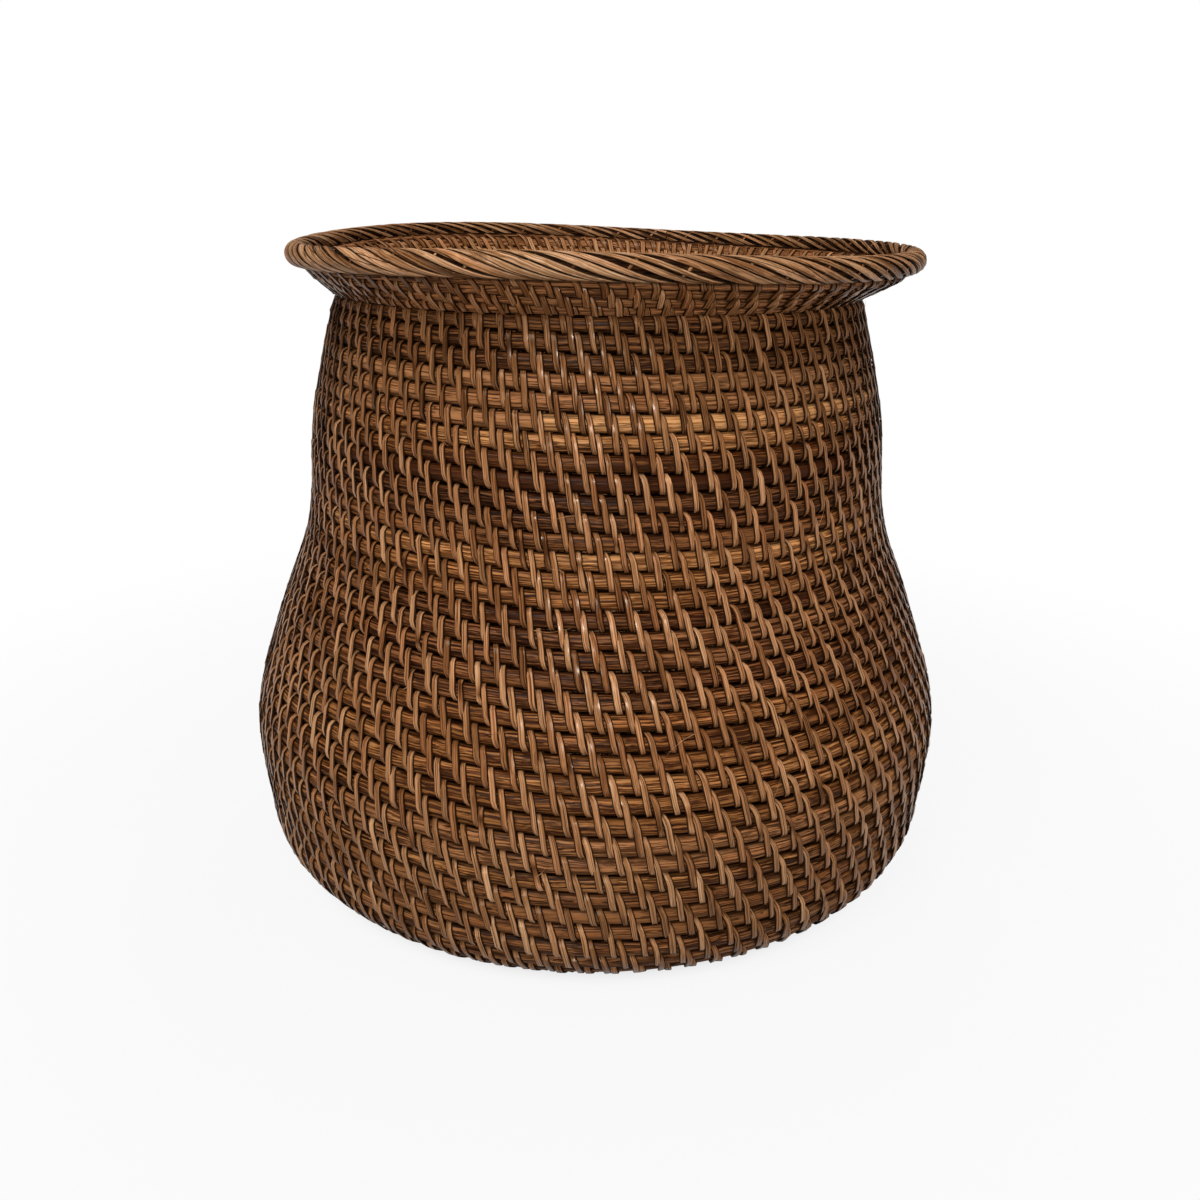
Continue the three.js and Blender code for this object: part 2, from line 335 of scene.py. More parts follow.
@dataclass
class Coil:
    """A rod wound between two levels of an outline, whittled at its end until its edge is level.

    Attributes:
        outline: the line that its turns follow.
        bottom, top: the levels, as distances along the outline.
        pitch: from one turn to the next.
        gap: room between two turns of the solid part.
        foot: the rod is whittled where it starts too.
        flared: it takes a share of the rim's waves and of its shift.
        swell: how much the real rod is thicker than the solid one, at each side.
        tip_thickness: of the whittled end.
        flare_end: the distance along the outline from which it takes the rim's waves in full.
        rim_shift: how far the rim is set off along X.
        start_radius, start_taper: where the rod starts without a foot, and its share of the thickness.
    """

    outline: Outline
    bottom: float
    top: float
    pitch: float
    gap: float
    foot: bool
    flared: bool
    swell: float
    tip_thickness: float
    flare_end: float = 1.0
    rim_shift: float = 3.5
    start_radius: float = 7.0
    start_taper: float = 0.6

    @property
    def full(self) -> float:
        """Half the rod's thickness where it is whole."""
        return (self.pitch - self.gap) / 2

    @property
    def rows(self) -> float:
        """How many rows fit between the two levels."""
        return (self.top - self.bottom) / self.pitch

    @property
    def end_turn(self) -> float:
        """The turn of the whittled tip."""
        return 1 - (self.tip_thickness + self.gap) / self.pitch

    @property
    def start_turn(self) -> float:
        """The turn at which the rod starts."""
        foot_turn = (self.tip_thickness + self.gap) / self.pitch - self.rows
        return foot_turn if self.foot else (self.start_radius - self.top + self.pitch / 2) / self.pitch

    def rod_at(self, turn: np.ndarray) -> tuple[np.ndarray, np.ndarray]:
        """Finds the rod at some turns.

        Args:
            turn: counted from where the last whole turn ends, negative below it.

        Returns:
            How far along the outline the rod's middle is, and half its thickness.
        """
        whittled = self.top - self.pitch * (1 - turn) / 2
        middle = np.where(turn > 0, whittled, self.top + self.pitch * (turn - 0.5))
        half = np.where(turn > 0, (self.pitch * (1 - turn) - self.gap) / 2, self.full)
        if self.foot:
            grown = turn + self.rows
            low = grown < 1
            middle = np.where(low, self.bottom + self.pitch * grown / 2, middle)
            half = np.where(low, (self.pitch * grown - self.gap) / 2, half)
        else:
            half = half * np.clip(self.start_taper + turn - self.start_turn, 0.2, 1)
        return middle + self.wander(turn, 0.16, 1.0), np.maximum(half, 0.3) + self.swell

    @staticmethod
    def wander(turn: np.ndarray, reach: float, phase: float) -> np.ndarray:
        """Gives the slow waviness of a rod that was bent by hand.

        Args:
            turn: where along the coil.
            reach: about the most that it wanders.
            phase: a number that sets one waviness off from another.

        Returns:
            The offset there.
        """
        waves = enumerate(((2.3, 1.0), (5.1, 0.7), (9.7, 0.45), (17.3, 0.25)))
        total = sum(size * np.sin(TURN * count * turn + phase * (i + 1.7)) for i, (count, size) in waves)
        return reach * total / 1.6

    def warmth_at(self, distance: np.ndarray) -> np.ndarray:
        """Gives how reddish the cane has turned: most in the middle of the wall.

        Args:
            distance: along the outline.

        Returns:
            0 as it grew to 1 reddish, at each distance.
        """
        if self.flared:
            return np.full_like(distance, 0.3)
        rows_down = (self.top - distance) / self.pitch
        return np.interp(rows_down, (0, 4, 8, 22, 28), (0.0, 0.05, 0.35, 0.35, 0.0))

    def radius_at(self, turn: np.ndarray) -> np.ndarray:
        """Gives the rod's distance from the basket's axis at some turns."""
        return np.maximum(self.outline.at(self.rod_at(turn)[0])[0], 1.0)

    def place(self, turn: np.ndarray, distance: np.ndarray, out: np.ndarray) -> np.ndarray:
        """Turns coil coordinates into points of the basket.

        Args:
            turn: round the coil.
            distance: along the outline.
            out: outwards from the outline.

        Returns:
            One row per point, in millimetres.
        """
        radius, height, across, rise = self.outline.at(distance)
        radius, height = radius + rise * out, height - across * out
        angle = SEAM_ANGLE - turn * TURN
        flare = np.clip(distance / self.flare_end, 0, 1) if self.flared else 0.0
        x = radius * np.cos(angle) + self.rim_shift * flare
        return np.stack([x, radius * np.sin(angle), height + rim_wave(angle) * flare], -1)


@dataclass
class CaneMaker:
    """Bends round cane onto a coil.

    Attributes:
        coil: the coil.
        steps: facets in one turn.
        sides: facets round the cane.
        scarf: length of a slanted splice.
        floor_level: the lowest that the cane may reach.
    """

    coil: Coil
    steps: int = 150
    sides: int = 12
    scarf: float = 12.0
    floor_level: float = 0.45

    def make(
        self, name: str, start: float, end: float, tone: float, fade: float, seed: int
    ) -> bpy.types.Object:
        """Makes one length of cane.

        Args:
            name: of the piece.
            start, end: the turns between which it lies.
            tone: its shade, 0 dark to 1 pale.
            fade: how much paler its upper end is than its lower.
            seed: sets its grain off from its neighbours'.

        Returns:
            The piece.
        """
        draw = np.random.default_rng(seed)
        stock = rod_stock(max(8, round((end - start) * self.steps)), self.sides)
        share, across, through = stock.corners.T
        turn = start + share * (end - start)
        radius = self.coil.radius_at(turn)
        at_end = (share < 1e-6) | (share > 1 - 1e-6)
        turn = turn + at_end * through * self.scarf / 2 / (TURN * radius)
        middle, half = self.coil.rod_at(turn)
        bulge = 1 + 0.02 * np.sin(turn * 31 + seed) + 0.015 * np.sin(turn * 77 + 2 * seed)
        depth = self.coil.full * np.sqrt((half - self.coil.swell) / self.coil.full) + self.coil.swell
        out = through * depth * bulge + self.coil.wander(turn, 0.14, 2.0 + seed)
        points = self.coil.place(turn, middle + across * half * bulge, out)
        points[:, 2] = np.maximum(points[:, 2], self.floor_level)

        along = np.interp(turn, *self._run(start - 0.1, end + 0.1))
        twist = draw.uniform(-1.2, 1.2) * along * MM + draw.uniform(0, TURN)
        length = along + draw.uniform(0, 4000)
        width = self.coil.full * (across * np.cos(twist) - through * np.sin(twist)) + draw.uniform(0, 500)
        depth = self.coil.full * (across * np.sin(twist) + through * np.cos(twist))
        drift = 0.10 * np.sin(along / 210 + seed) + 0.05 * np.sin(along / 67)
        marks = {
            "lay": np.stack([length, width, depth], -1) * MM,
            "tone": np.clip(tone + fade * (share - 0.5) + drift, -0.4, 1),
            # The tuck sets the painted shade on the rod's sides, towards the gaps.
            "tuck": np.abs(across),
            "warmth": self.coil.warmth_at(middle),
        }
        return store_piece(name, points, stock.faces(), marks, ROD_SHARP)

    def _run(self, start: float, end: float) -> tuple[np.ndarray, np.ndarray]:
        """Tabulates the length of cane used between two turns.

        Args:
            start, end: the turns.

        Returns:
            Close turns from start to end, and the length used up to each.
        """
        turns = np.linspace(start, end, 400)
        radii = self.coil.radius_at(turns)
        steps = TURN * (radii[1:] + radii[:-1]) / 2 * np.diff(turns)
        return turns, np.concatenate([[0], np.cumsum(steps)])


@dataclass
class Lashing:
    """The strips of peel that tie a coil's rows together, two rows to a stitch.

    Attributes:
        coil: what they lash.
        side: the face of the shell that this set lies on.
        per_turn: stitches in one turn.
        width: of a strip.
        rise: how far a strip stands proud of the rods.
        lean_narrow, lean_wide: how far a stitch leans over its two rows, as a share of the spacing,
            where the basket is narrow and where it is wide.
        leans: in its place, degrees from the front round to the right, each with the lean there.
        tone: its shade, 0 dark to 1 pale.
        over_share: how many of the stitches that come from beyond the coil's top are there.
        joints: how many stitches have a worn place, where one strip ends under the next.
        least_spacing: where the turns get short, there are fewer stitches, at least this far apart.
        uneven: how far a hand misses the even place and lean of a stitch.
        narrowed: the share of the width that a worn place has lost.
        splits: how many stitches have a split in them.
    """

    coil: Coil
    side: Side
    per_turn: float = 87.62
    width: float = 2.2
    rise: float = 0.9
    lean_narrow: float = 0.38
    lean_wide: float = 0.47
    leans: tuple[tuple[float, float], ...] = ()
    tone: float = 0.5
    over_share: float = 1.0
    joints: float = 0.04
    least_spacing: float = 7.5
    uneven: float = 0.35
    narrowed: float = 0.35
    splits: float = 0.22

    NECK_RADIUS, BELLY_RADIUS = 125, 160  # where the basket counts as narrow and as wide

    # Along a stitch: the rod crossed (0 upper, 1 lower), then in half rods the place up the wall and
    # the height over the wall's line, then the shares of the strip's rise and width there.
    PATH = np.array([
        (0.0, 1.12, -0.10, 0.00, 0.98),
        (0.0, 0.93, 0.50, 0.60, 0.98),
        (0.0, 0.62, 0.86, 1.05, 1.02),
        (0.0, 0.05, 1.00, 1.00, 1.00),
        (0.5, 0.00, 0.97, 0.80, 1.00),
        (1.0, 0.00, 1.00, 0.95, 1.00),
        (1.0, -0.55, 0.84, 0.90, 0.98),
        (1.0, -0.94, 0.46, 0.55, 0.97),
        (1.0, -1.12, -0.15, 0.00, 0.96),
    ])
    # The same where the stitch comes from beyond the coil's end, or goes on beyond it
    SHORT_PATH = np.array([
        (0.0, 1.12, -0.10, 0.00, 0.98),
        (0.0, 0.93, 0.50, 0.60, 0.98),
        (0.0, 0.62, 0.84, 0.95, 1.00),
        (0.0, 0.30, 0.96, 1.00, 1.00),
        (0.0, 0.00, 1.00, 1.00, 1.00),
        (0.0, -0.30, 0.96, 1.00, 1.00),
        (0.0, -0.62, 0.82, 0.90, 0.98),
        (0.0, -0.94, 0.46, 0.55, 0.97),
        (0.0, -1.12, -0.15, 0.00, 0.96),
    ])

    def turns(self) -> np.ndarray:
        """Lists where the stitches are.

        Returns:
            The turns at which they start, from the top down.
        """
        lowest = self.coil.start_turn + (0.05 if self.coil.foot else 1.02)
        found, turn = [], math.floor((self.coil.end_turn + 1) * self.per_turn) / self.per_turn
        draw = np.random.default_rng(7)
        while turn > lowest:
            if turn <= self.coil.end_turn or draw.uniform() < self.over_share:
                found.append(turn)
            round_about = TURN * float(self.coil.radius_at(np.array([turn]))[0])
            turn -= max(1 / self.per_turn, self.least_spacing / round_about)
        return np.array(found)

    def make(self, name: str, turns: np.ndarray, stock: Stock, seed: int) -> bpy.types.Object:
        """Makes one band of stitches.

        Args:
            name: of the piece.
            turns: where its stitches start.
            stock: the straight strip.
            seed: for what differs from stitch to stitch.

        Returns:
            The piece.
        """
        draw = np.random.default_rng(seed)
        many, coil, sign = len(turns), self.coil, self.side.value
        over, under = turns > coil.end_turn, turns - 1 < coil.start_turn
        is_short = over | under
        upper, upper_half = coil.rod_at(np.where(over, turns - 1, turns))
        lower, lower_half = coil.rod_at(np.where(is_short, turns, turns - 1))
        radius = coil.radius_at(turns - 0.5)
        spacing = np.maximum(TURN * radius / self.per_turn, self.least_spacing)
        girth = (self.NECK_RADIUS, self.BELLY_RADIUS)
        lean = spacing * np.interp(radius, girth, (self.lean_narrow, self.lean_wide))
        if self.leans:
            degrees = (np.degrees(SEAM_ANGLE - turns * TURN) + 270) % 360 - 180
            lean = np.interp(degrees, *np.transpose(self.leans), period=360)
        start = np.zeros(many)
        if self.side is Side.INSIDE:
            start, lean = spacing, lean - spacing
        start = start + np.where(over, lean / 2, 0) + draw.normal(0, self.uneven, many)
        lean = lean * np.where(is_short, 0.5, 1) + draw.normal(0, self.uneven, many)
        width = self.width * np.interp(radius, girth, (1.0, 1.12)) * draw.uniform(0.86, 1.10, many)
        rise = self.rise * draw.uniform(0.85, 1.15, many)
        roll = draw.normal(0, 0.10, many)
        bow = draw.normal(0.25, 0.2, many)

        # The strip's thickness stands square to its path over the rods
        share = stock.corners[None, :, 0]
        rods = np.array([upper, lower, upper_half, lower_half, rise, is_short])
        distance, base, wide = self._path(share, rods)
        joined = np.where(draw.uniform(0, 1, many) < self.joints, draw.uniform(0.3, 0.7, many), NO_SPLIT)
        joint = np.exp(-(((share - joined[:, None]) / 0.09) ** 2))
        wide = wide * (1 - self.narrowed * joint)
        ahead, behind = (self._path(share + step, rods)[:2] for step in (0.02, -0.02))
        slope = np.stack(ahead) - np.stack(behind)
        slope /= np.linalg.norm(slope, axis=0)
        through = (stock.corners[None, :, 2] + 1) / 2
        across = stock.corners[None, :, 1] * (1.3 - 0.3 * through)
        thick = rise[:, None] * (0.62 - 0.2 * np.abs(2 * share - 1))
        aside = across * width[:, None] / 2 * wide
        lift = through * thick + roll[:, None] * across
        distance = distance + lift * slope[1]
        out = base - lift * slope[0]
        sideways = start[:, None] + lean[:, None] * share + bow[:, None] * np.sin(share * TURN / 2) + aside
        flat_radius = np.maximum(radius, 4)[:, None]
        turn = turns[:, None] - sideways / (TURN * flat_radius)
        out = sign * out + coil.wander(turns, 0.14, 2.0)[:, None]
        points = coil.place(turn, distance, out).reshape(-1, 3)
        level = 0.75 - 0.6 * (through * np.ones_like(out)).ravel()
        points[:, 2] = np.maximum(points[:, 2], level)

        # Strips near the neck are darker: painted shade under the collar.
        neck = 0.0 if coil.flared else np.clip(1.6 - (coil.top - upper) / coil.pitch / 5, 0, 1)
        shade = self.tone - 0.2 * neck
        strand = np.floor(np.arange(many) / 43 + draw.uniform(0, 1)).astype(int)
        tones = shade + draw.normal(0, 0.09, strand.max() + 1)[strand] + draw.normal(0, 0.09, many)
        tones -= 0.18 * (draw.uniform(0, 1, many) < 0.03)
        split = np.where(draw.uniform(0, 1, many) < self.splits, draw.uniform(-0.4, 0.4, many), NO_SPLIT)
        offset = draw.uniform(0, 6, (many, 3))
        whole, size = np.ones_like(out), len(stock.corners)
        lay = np.stack([share * 17 * whole, across * width[:, None] / 2, lift * whole], -1) * MM
        marks = {
            "lay": (lay + offset[:, None]).reshape(-1, 3),
            "tone": np.clip(tones[:, None] - 0.6 * joint, -0.3, 1).ravel(),
            # The tuck sets the painted shade at the strip's ends, where they go down into the gaps.
            "tuck": np.tile(np.abs(2 * stock.corners[:, 0] - 1) ** 3, many),
            "across": np.tile(across[0], many),
            "split": np.repeat(split, size),
            "warmth": np.repeat(coil.warmth_at(upper) + draw.normal(0, 0.12, many), size),
        }
        return store_piece(name, points, stock.faces(many, self.side is Side.OUTSIDE), marks, STRIP_SHARP)

    def _path(self, share: np.ndarray, rods: np.ndarray) -> tuple[np.ndarray, np.ndarray, np.ndarray]:
        """Follows the middle of the stitches in the wall's section.

        Args:
            share: how far along a stitch, 0 to 1.
            rods: where each stitch's upper and lower rods lie on the outline, half the thickness of
                each, the stitch's rise, and whether it crosses one rod alone.

        Returns:
            The distance along the outline, the height over it and the share of the strip's width.
        """
        upper, lower, upper_half, lower_half, rise, is_short = rods[..., None]
        ring, rings = np.clip(share, 0, 1) * (len(self.PATH) - 1), np.arange(len(self.PATH))
        rod, up, high, proud, wide = (
            np.where(is_short, np.interp(ring, rings, short), np.interp(ring, rings, long))
            for short, long in zip(self.SHORT_PATH.T, self.PATH.T)
        )
        half = upper_half * (1 - rod) + lower_half * rod
        distance = upper * (1 - rod) + lower * rod + up * half
        return distance, high * half + proud * rise * 0.35, wide


# Finishes


def linear(shade: str) -> tuple[float, float, float, float]:
    """Turns a colour written as on a paint card, six hex digits, into the shader's numbers."""
    parts = [int(shade[i : i + 2], 16) / 255 for i in (0, 2, 4)]
    return (*[p / 12.92 if p <= 0.04045 else ((p + 0.055) / 1.055) ** 2.4 for p in parts], 1.0)


class NodeBench:
    """Places and joins nodes in one tree, with little to write for each."""

    def __init__(self, tree: bpy.types.NodeTree) -> None:
        """Starts on the tree of a material, a world or a group."""
        self.tree = tree

    def feed(self, node: bpy.types.Node, links: dict) -> bpy.types.Node:
        """Sets inputs of a node.

        Args:
            node: the node.
            links: by the name or number of an input, a number, a colour or another node's output.

        Returns:
            The node.
        """
        for key, value in links.items():
            if isinstance(value, bpy.types.NodeSocket):
                self.tree.links.new(value, node.inputs[key])
            else:
                node.inputs[key].default_value = value
        return node

    def add(self, kind: str, links: dict | None = None, **settings: object) -> bpy.types.Node:
        """Adds a node.

        Args:
            kind: the node's type, without its ShaderNode prefix.
            links: its inputs, as feed takes them.
            settings: the node's own settings.

        Returns:
            The node.
        """
        node = self.tree.nodes.new(kind if kind.startswith("NodeGroup") else "ShaderNode" + kind)
        for key, value in settings.items():
            setattr(node, key, value)
        return self.feed(node, links or {})

    def math(self, operation: str, *values: object) -> bpy.types.NodeSocket:
        """Adds a Math node and gives its result."""
        return self.add("Math", dict(enumerate(values)), operation=operation).outputs[0]

    def vector(self, operation: str, *values: object) -> bpy.types.NodeSocket:
        """Adds a Vector Math node and gives its result."""
        return self.add("VectorMath", dict(enumerate(values)), operation=operation).outputs[0]

    def noise(self, place: object, scale: float, detail: float, roughness: float = 0.5) -> bpy.types.Node:
        """Adds a noise texture."""
        links = {"Vector": place, "Scale": scale, "Detail": detail, "Roughness": roughness}
        return self.add("TexNoise", links)

    def mix(self, share: object, first: object, second: object, blend: str = "MIX") -> bpy.types.NodeSocket:
        """Adds a colour mix and gives its result."""
        return self.add("Mix", {0: share, 6: first, 7: second}, data_type="RGBA", blend_type=blend).outputs[2]

    def ramp(self, value: object, low: object, high: object) -> bpy.types.NodeSocket:
        """Spreads a value from low..high to 0..1, smoothly."""
        return self.add("MapRange", {0: value, 1: low, 2: high}, interpolation_type="SMOOTHSTEP").outputs[0]

    def sway(self, base: object, value: object, share: float) -> bpy.types.NodeSocket:
        """Adds to a base a share of what a value differs from a half."""
        return self.math("ADD", base, self.math("MULTIPLY", self.math("SUBTRACT", value, 0.5), share))

    def mark(self, name: str, output: str = "Fac") -> bpy.types.NodeSocket:
        """Reads one of the piece's marks."""
        return self.add("Attribute", attribute_name=name).outputs[output]


def new_group(
    name: str, takes: dict[str, str], gives: dict[str, str]
) -> tuple[NodeBench, bpy.types.Node, bpy.types.Node]:
    """Starts a shader node group.

    Args:
        name: of the group.
        takes: its inputs, each with its type: Float, Color or Vector.
        gives: its outputs, likewise.

    Returns:
        A bench on its tree, its input node and its output node.
    """
    tree = bpy.data.node_groups.new(name, "ShaderNodeTree")
    for names, way in ((takes, "INPUT"), (gives, "OUTPUT")):
        for socket, kind in names.items():
            tree.interface.new_socket(name=socket, in_out=way, socket_type="NodeSocket" + kind)
    bench = NodeBench(tree)
    return bench, bench.add("NodeGroupInput"), bench.add("NodeGroupOutput")


def grain_group() -> bpy.types.NodeTree:
    """Builds the long grain that rods and strips share.

    Returns:
        A group that takes the lay and the grain's fineness and gives streaks, cracks, blotches and relief.
    """
    bench, took, gave = new_group(
        "Cane grain",
        {"Lay": "Vector", "Lines": "Float", "Run": "Float", "Crack Share": "Float"},
        {"Streaks": "Float", "Cracks": "Float", "Blotches": "Float", "Relief": "Float"},
    )
    straight, lines, run = (took.outputs[name] for name in ("Lay", "Lines", "Run"))
    bend = bench.vector("SUBTRACT", bench.noise(straight, 110.0, 1.0).outputs[1], (0.5, 0.5, 0.5))
    lay = bench.vector("ADD", straight, bench.vector("MULTIPLY", bend, (0.0, 0.0011, 0.0011)))
    stretch = bench.add("CombineXYZ", {0: run, 1: lines, 2: lines}).outputs[0]
    spread = bench.vector("MULTIPLY", lay, stretch)
    streak = bench.noise(spread, 1.0, 4.0, 0.68).outputs[0]
    lined = bench.noise(bench.vector("MULTIPLY", spread, (0.4, 0.7, 0.7)), 1.0, 1.0).outputs[0]
    off = bench.math("ABSOLUTE", bench.math("SUBTRACT", lined, 0.5))
    crack = bench.math("SUBTRACT", 1.0, bench.ramp(off, 0.01, 0.06))
    blotch = bench.noise(bench.vector("MULTIPLY", lay, (22.0, 160.0, 160.0)), 1.0, 2.0).outputs[0]
    crack = bench.math("MULTIPLY", crack, bench.ramp(blotch, 0.32, 0.56))
    crack = bench.math("MULTIPLY", crack, took.outputs["Crack Share"])
    relief = bench.math("SUBTRACT", bench.math("MULTIPLY", streak, 0.6), crack)
    streaks = bench.ramp(streak, 0.40, 0.60)
    bench.feed(gave, {"Streaks": streaks, "Cracks": crack, "Blotches": blotch, "Relief": relief})
    return bench.tree


def gap_shade_group() -> bpy.types.NodeTree:
    """Builds the painted shade that darkens a rod or strip where it goes down into a gap.

    Returns:
        A group that takes a colour, the tuck and the stain's strength, and gives the stained colour.
    """
    bench, took, gave = new_group(
        "Painted gap shade",
        {"Color": "Color", "Tuck": "Float", "From": "Float", "Strength": "Float"},
        {"Color": "Color"},
    )
    colour, tuck, start, strength = (took.outputs[name] for name in ("Color", "Tuck", "From", "Strength"))
    # Painted shade: deep in a gap the colour goes towards near black.
    share = bench.math("MULTIPLY", bench.ramp(tuck, start, 1.0), strength)
    dark = bench.mix(1.0, colour, (0.03, 0.015, 0.008, 1.0), "MULTIPLY")
    bench.feed(gave, {"Color": bench.mix(share, colour, dark)})
    return bench.tree


@dataclass(frozen=True)
class WoodFinish:
    """One finish of cane or peel.

    Attributes:
        name: of the material.
        deep, plain, pale: its darkest, middle and lightest colours.
        crack: colour of its cracks, and on strips also of its splits and its painted edge shade.
        lines: streaks per metre across the grain.
        run: streaks per metre along it.
        cracks: strength of the cracks.
        gap_shade_from, gap_shade: where the painted shade in the gaps starts, and its strength.
        roughness: of the surface.
        gloss, gloss_roughness: of the varnish.
        sheen: the share of light that the bare surface mirrors, 1 as on glass.
        relief: height of the grain.
        contrast: how much the streaks change the shade.
        is_strip: its splits are darker, and its edges get a painted shade.
    """

    name: str
    deep: str
    plain: str
    pale: str
    crack: str
    lines: float = 1300.0
    run: float = 26.0
    cracks: float = 0.8
    gap_shade_from: float = 0.62
    gap_shade: float = 1.0
    roughness: float = 0.5
    gloss: float = 0.06
    gloss_roughness: float = 0.3
    sheen: float = 0.12
    relief: float = 0.2
    contrast: float = 0.8
    is_strip: bool = False

    def material(self, grain: bpy.types.NodeTree, gap_shade: bpy.types.NodeTree) -> bpy.types.Material:
        """Builds the material.

        Args:
            grain: the grain group.
            gap_shade: the group that paints shade into the gaps.

        Returns:
            The material.
        """
        made = bpy.data.materials.new(self.name)
        made.use_nodes = True
        bench = NodeBench(made.node_tree)
        shader = made.node_tree.nodes["Principled BSDF"]
        tone, tuck = bench.mark("tone"), bench.mark("tuck")
        lay = bench.mark("lay", "Vector")
        wanted = {"Lay": lay, "Lines": self.lines, "Run": self.run, "Crack Share": self.cracks}
        lines = bench.add("Group", wanted, node_tree=grain)
        streaks, cracks, blotches = (lines.outputs[name] for name in ("Streaks", "Cracks", "Blotches"))
        shade = bench.sway(bench.sway(tone, streaks, self.contrast), blotches, 0.6)
        ramp = bench.add("ValToRGB", {0: shade})
        ramp.color_ramp.elements[0].color = linear(self.deep)
        ramp.color_ramp.elements[1].color = linear(self.pale)
        ramp.color_ramp.elements.new(0.5).color = linear(self.plain)
        if self.is_strip:
            across = bench.mark("across")
            off_split = bench.math("ABSOLUTE", bench.math("SUBTRACT", across, bench.mark("split")))
            cleft = bench.math("SUBTRACT", 1.0, bench.ramp(off_split, 0.03, 0.16))
            # Painted shade: a dark outline along the strip's edges, where it meets the rods. The cracks mask
            # below carries it together with the splits.
            edge = bench.math("MULTIPLY", bench.ramp(bench.math("ABSOLUTE", across), 0.80, 1.0), 0.95)
            cracks = bench.math("MAXIMUM", cracks, bench.math("MAXIMUM", cleft, edge))
        warmth = bench.math("MULTIPLY", bench.ramp(blotches, 0.46, 0.66), 0.5)
        warmth = bench.math("MINIMUM", bench.math("ADD", warmth, bench.mark("warmth")), 1.0)
        warmer = bench.mix(1.0, ramp.outputs[0], (1.04, 0.86, 0.76, 1.0), "MULTIPLY")
        colour = bench.mix(bench.math("MAXIMUM", warmth, 0.0), ramp.outputs[0], warmer)
        colour = bench.mix(cracks, colour, linear(self.crack))
        # Painted shade: the colour darkens where the rod or strip goes down into a gap.
        wanted = {"Color": colour, "Tuck": tuck, "From": self.gap_shade_from, "Strength": self.gap_shade}
        shaded = bench.add("Group", wanted, node_tree=gap_shade)
        smooth = bench.math("SUBTRACT", 1.0, bench.math("MAXIMUM", cracks, tuck))
        wanted = {"Height": lines.outputs["Relief"], "Distance": self.relief * MM, "Strength": 1.0}
        bump = bench.add("Bump", wanted)
        bench.feed(shader, {
            "Base Color": shaded.outputs[0],
            "Roughness": bench.sway(self.roughness, streaks, 0.16),
            "Specular IOR Level": bench.math("MULTIPLY", smooth, self.sheen / 2),
            "Specular Tint": linear("ffe6cf"),
            "Coat Weight": self.gloss,
            "Coat Roughness": self.gloss_roughness,
            "Normal": bump.outputs[0],
        })
        return made


class Finish(Enum):
    """The finishes of the basket, by the record's slots."""

    DARK_CANE = WoodFinish("Dark cane", "1c0d05", "452815", "80532f", "090402", cracks=0.9)
    MEDIUM_CANE = WoodFinish("Medium cane", "250f05", "5c381e", "986841", "0c0603", cracks=0.85)
    LIGHT_CANE = WoodFinish("Light cane", "371c0c", "80522a", "c18d5a", "130904", cracks=0.8)
    LASHING = WoodFinish("Lashing peel", "43260f", "875b37", "c0966e", "180b05", lines=2400.0, run=30.0,
                         cracks=0.5, gap_shade_from=0.6, gap_shade=0.95, roughness=0.22, gloss=0.0,
                         sheen=0.42, relief=0.015, contrast=0.45, is_strip=True)
    RIM_PEEL = WoodFinish("Rim peel", "452812", "8e6541", "c8a07b", "100703", lines=2000.0, run=12.0,
                          cracks=0.6, gap_shade_from=0.45, gap_shade=0.8, roughness=0.32, gloss=0.0,
                          sheen=0.4, relief=0.03, contrast=0.5, is_strip=True)
    RIM_CORE = WoodFinish("Rim core", "0e0602", "21110a", "3c2413", "060302", lines=900.0, run=60.0,
                          gap_shade=0.2, roughness=0.8, gloss=0.0, sheen=0.05, relief=0.25)


@dataclass
class Paint:
    """The built materials, by finish."""

    made: dict[Finish, bpy.types.Material] = field(default_factory=dict)

    def __post_init__(self) -> None:
        """Builds the shared groups and every material."""
        grain, gap_shade = grain_group(), gap_shade_group()
        for finish in Finish:
            self.made[finish] = finish.value.material(grain, gap_shade)

    def dress(self, piece: bpy.types.Object, finish: Finish, nodes: Sequence[str] = ()) -> None:
        """Gives a piece its finish and hides the solids that it replaces.

        Args:
            piece: the piece.
            finish: its finish.
            nodes: the solids that it replaces.
        """
        piece.data.materials.append(self.made[finish])
        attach(piece, "root")
        if nodes:
            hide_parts(*nodes)
        log.info("%s: %d faces", piece.name, len(piece.data.polygons))


SLOT_FINISHES = {
    "cane_dark": Finish.DARK_CANE,
    "cane_medium": Finish.MEDIUM_CANE,
    "cane_light": Finish.LIGHT_CANE,
}


# Sub-assemblies


@dataclass
class Cane:
    """One length of cane in a coil.

    Attributes:
        node: the solid that it replaces.
        turns: its share of the coil.
        tone: its shade, 0 dark to 1 pale within its slot.
        slot: the record's material slot.
        fade: how much paler its upper end is than its lower.
    """

    node: str
    turns: float
    tone: float
    slot: str
    fade: float = 0.0


def splice_near(turn: float) -> float:
    """Gives the middle of the solids' facet nearest to a turn, where they meet in a splice."""
    return (math.floor(turn * SOLID_STEPS) + 0.5) / SOLID_STEPS


def make_canes(
    maker: CaneMaker, canes: Sequence[Cane], start: float, end: float, paint: Paint, seed: int
) -> float:
    """Makes a coil's lengths of cane from the lowest turn up.

    Args:
        maker: bends them.
        canes: the lengths, from the lowest.
        start, end: turns between which they lie.
        paint: the materials.
        seed: of the first length's grain.

    Returns:
        The turn at which the next coil may start.
    """
    listed = sum(cane.turns for cane in canes)
    begin = start
    for index, cane in enumerate(canes):
        is_last = index == len(canes) - 1
        stop = end if is_last else splice_near(begin + cane.turns * (end - start) / listed)
        piece = maker.make(cane.node.replace("coil", "cane"), begin, stop, cane.tone, cane.fade, seed + index)
        paint.dress(piece, SLOT_FINISHES[cane.slot], [cane.node])
        begin = stop + 0.5 / (TURN * float(maker.coil.radius_at(np.array([stop]))[0]))
    return begin


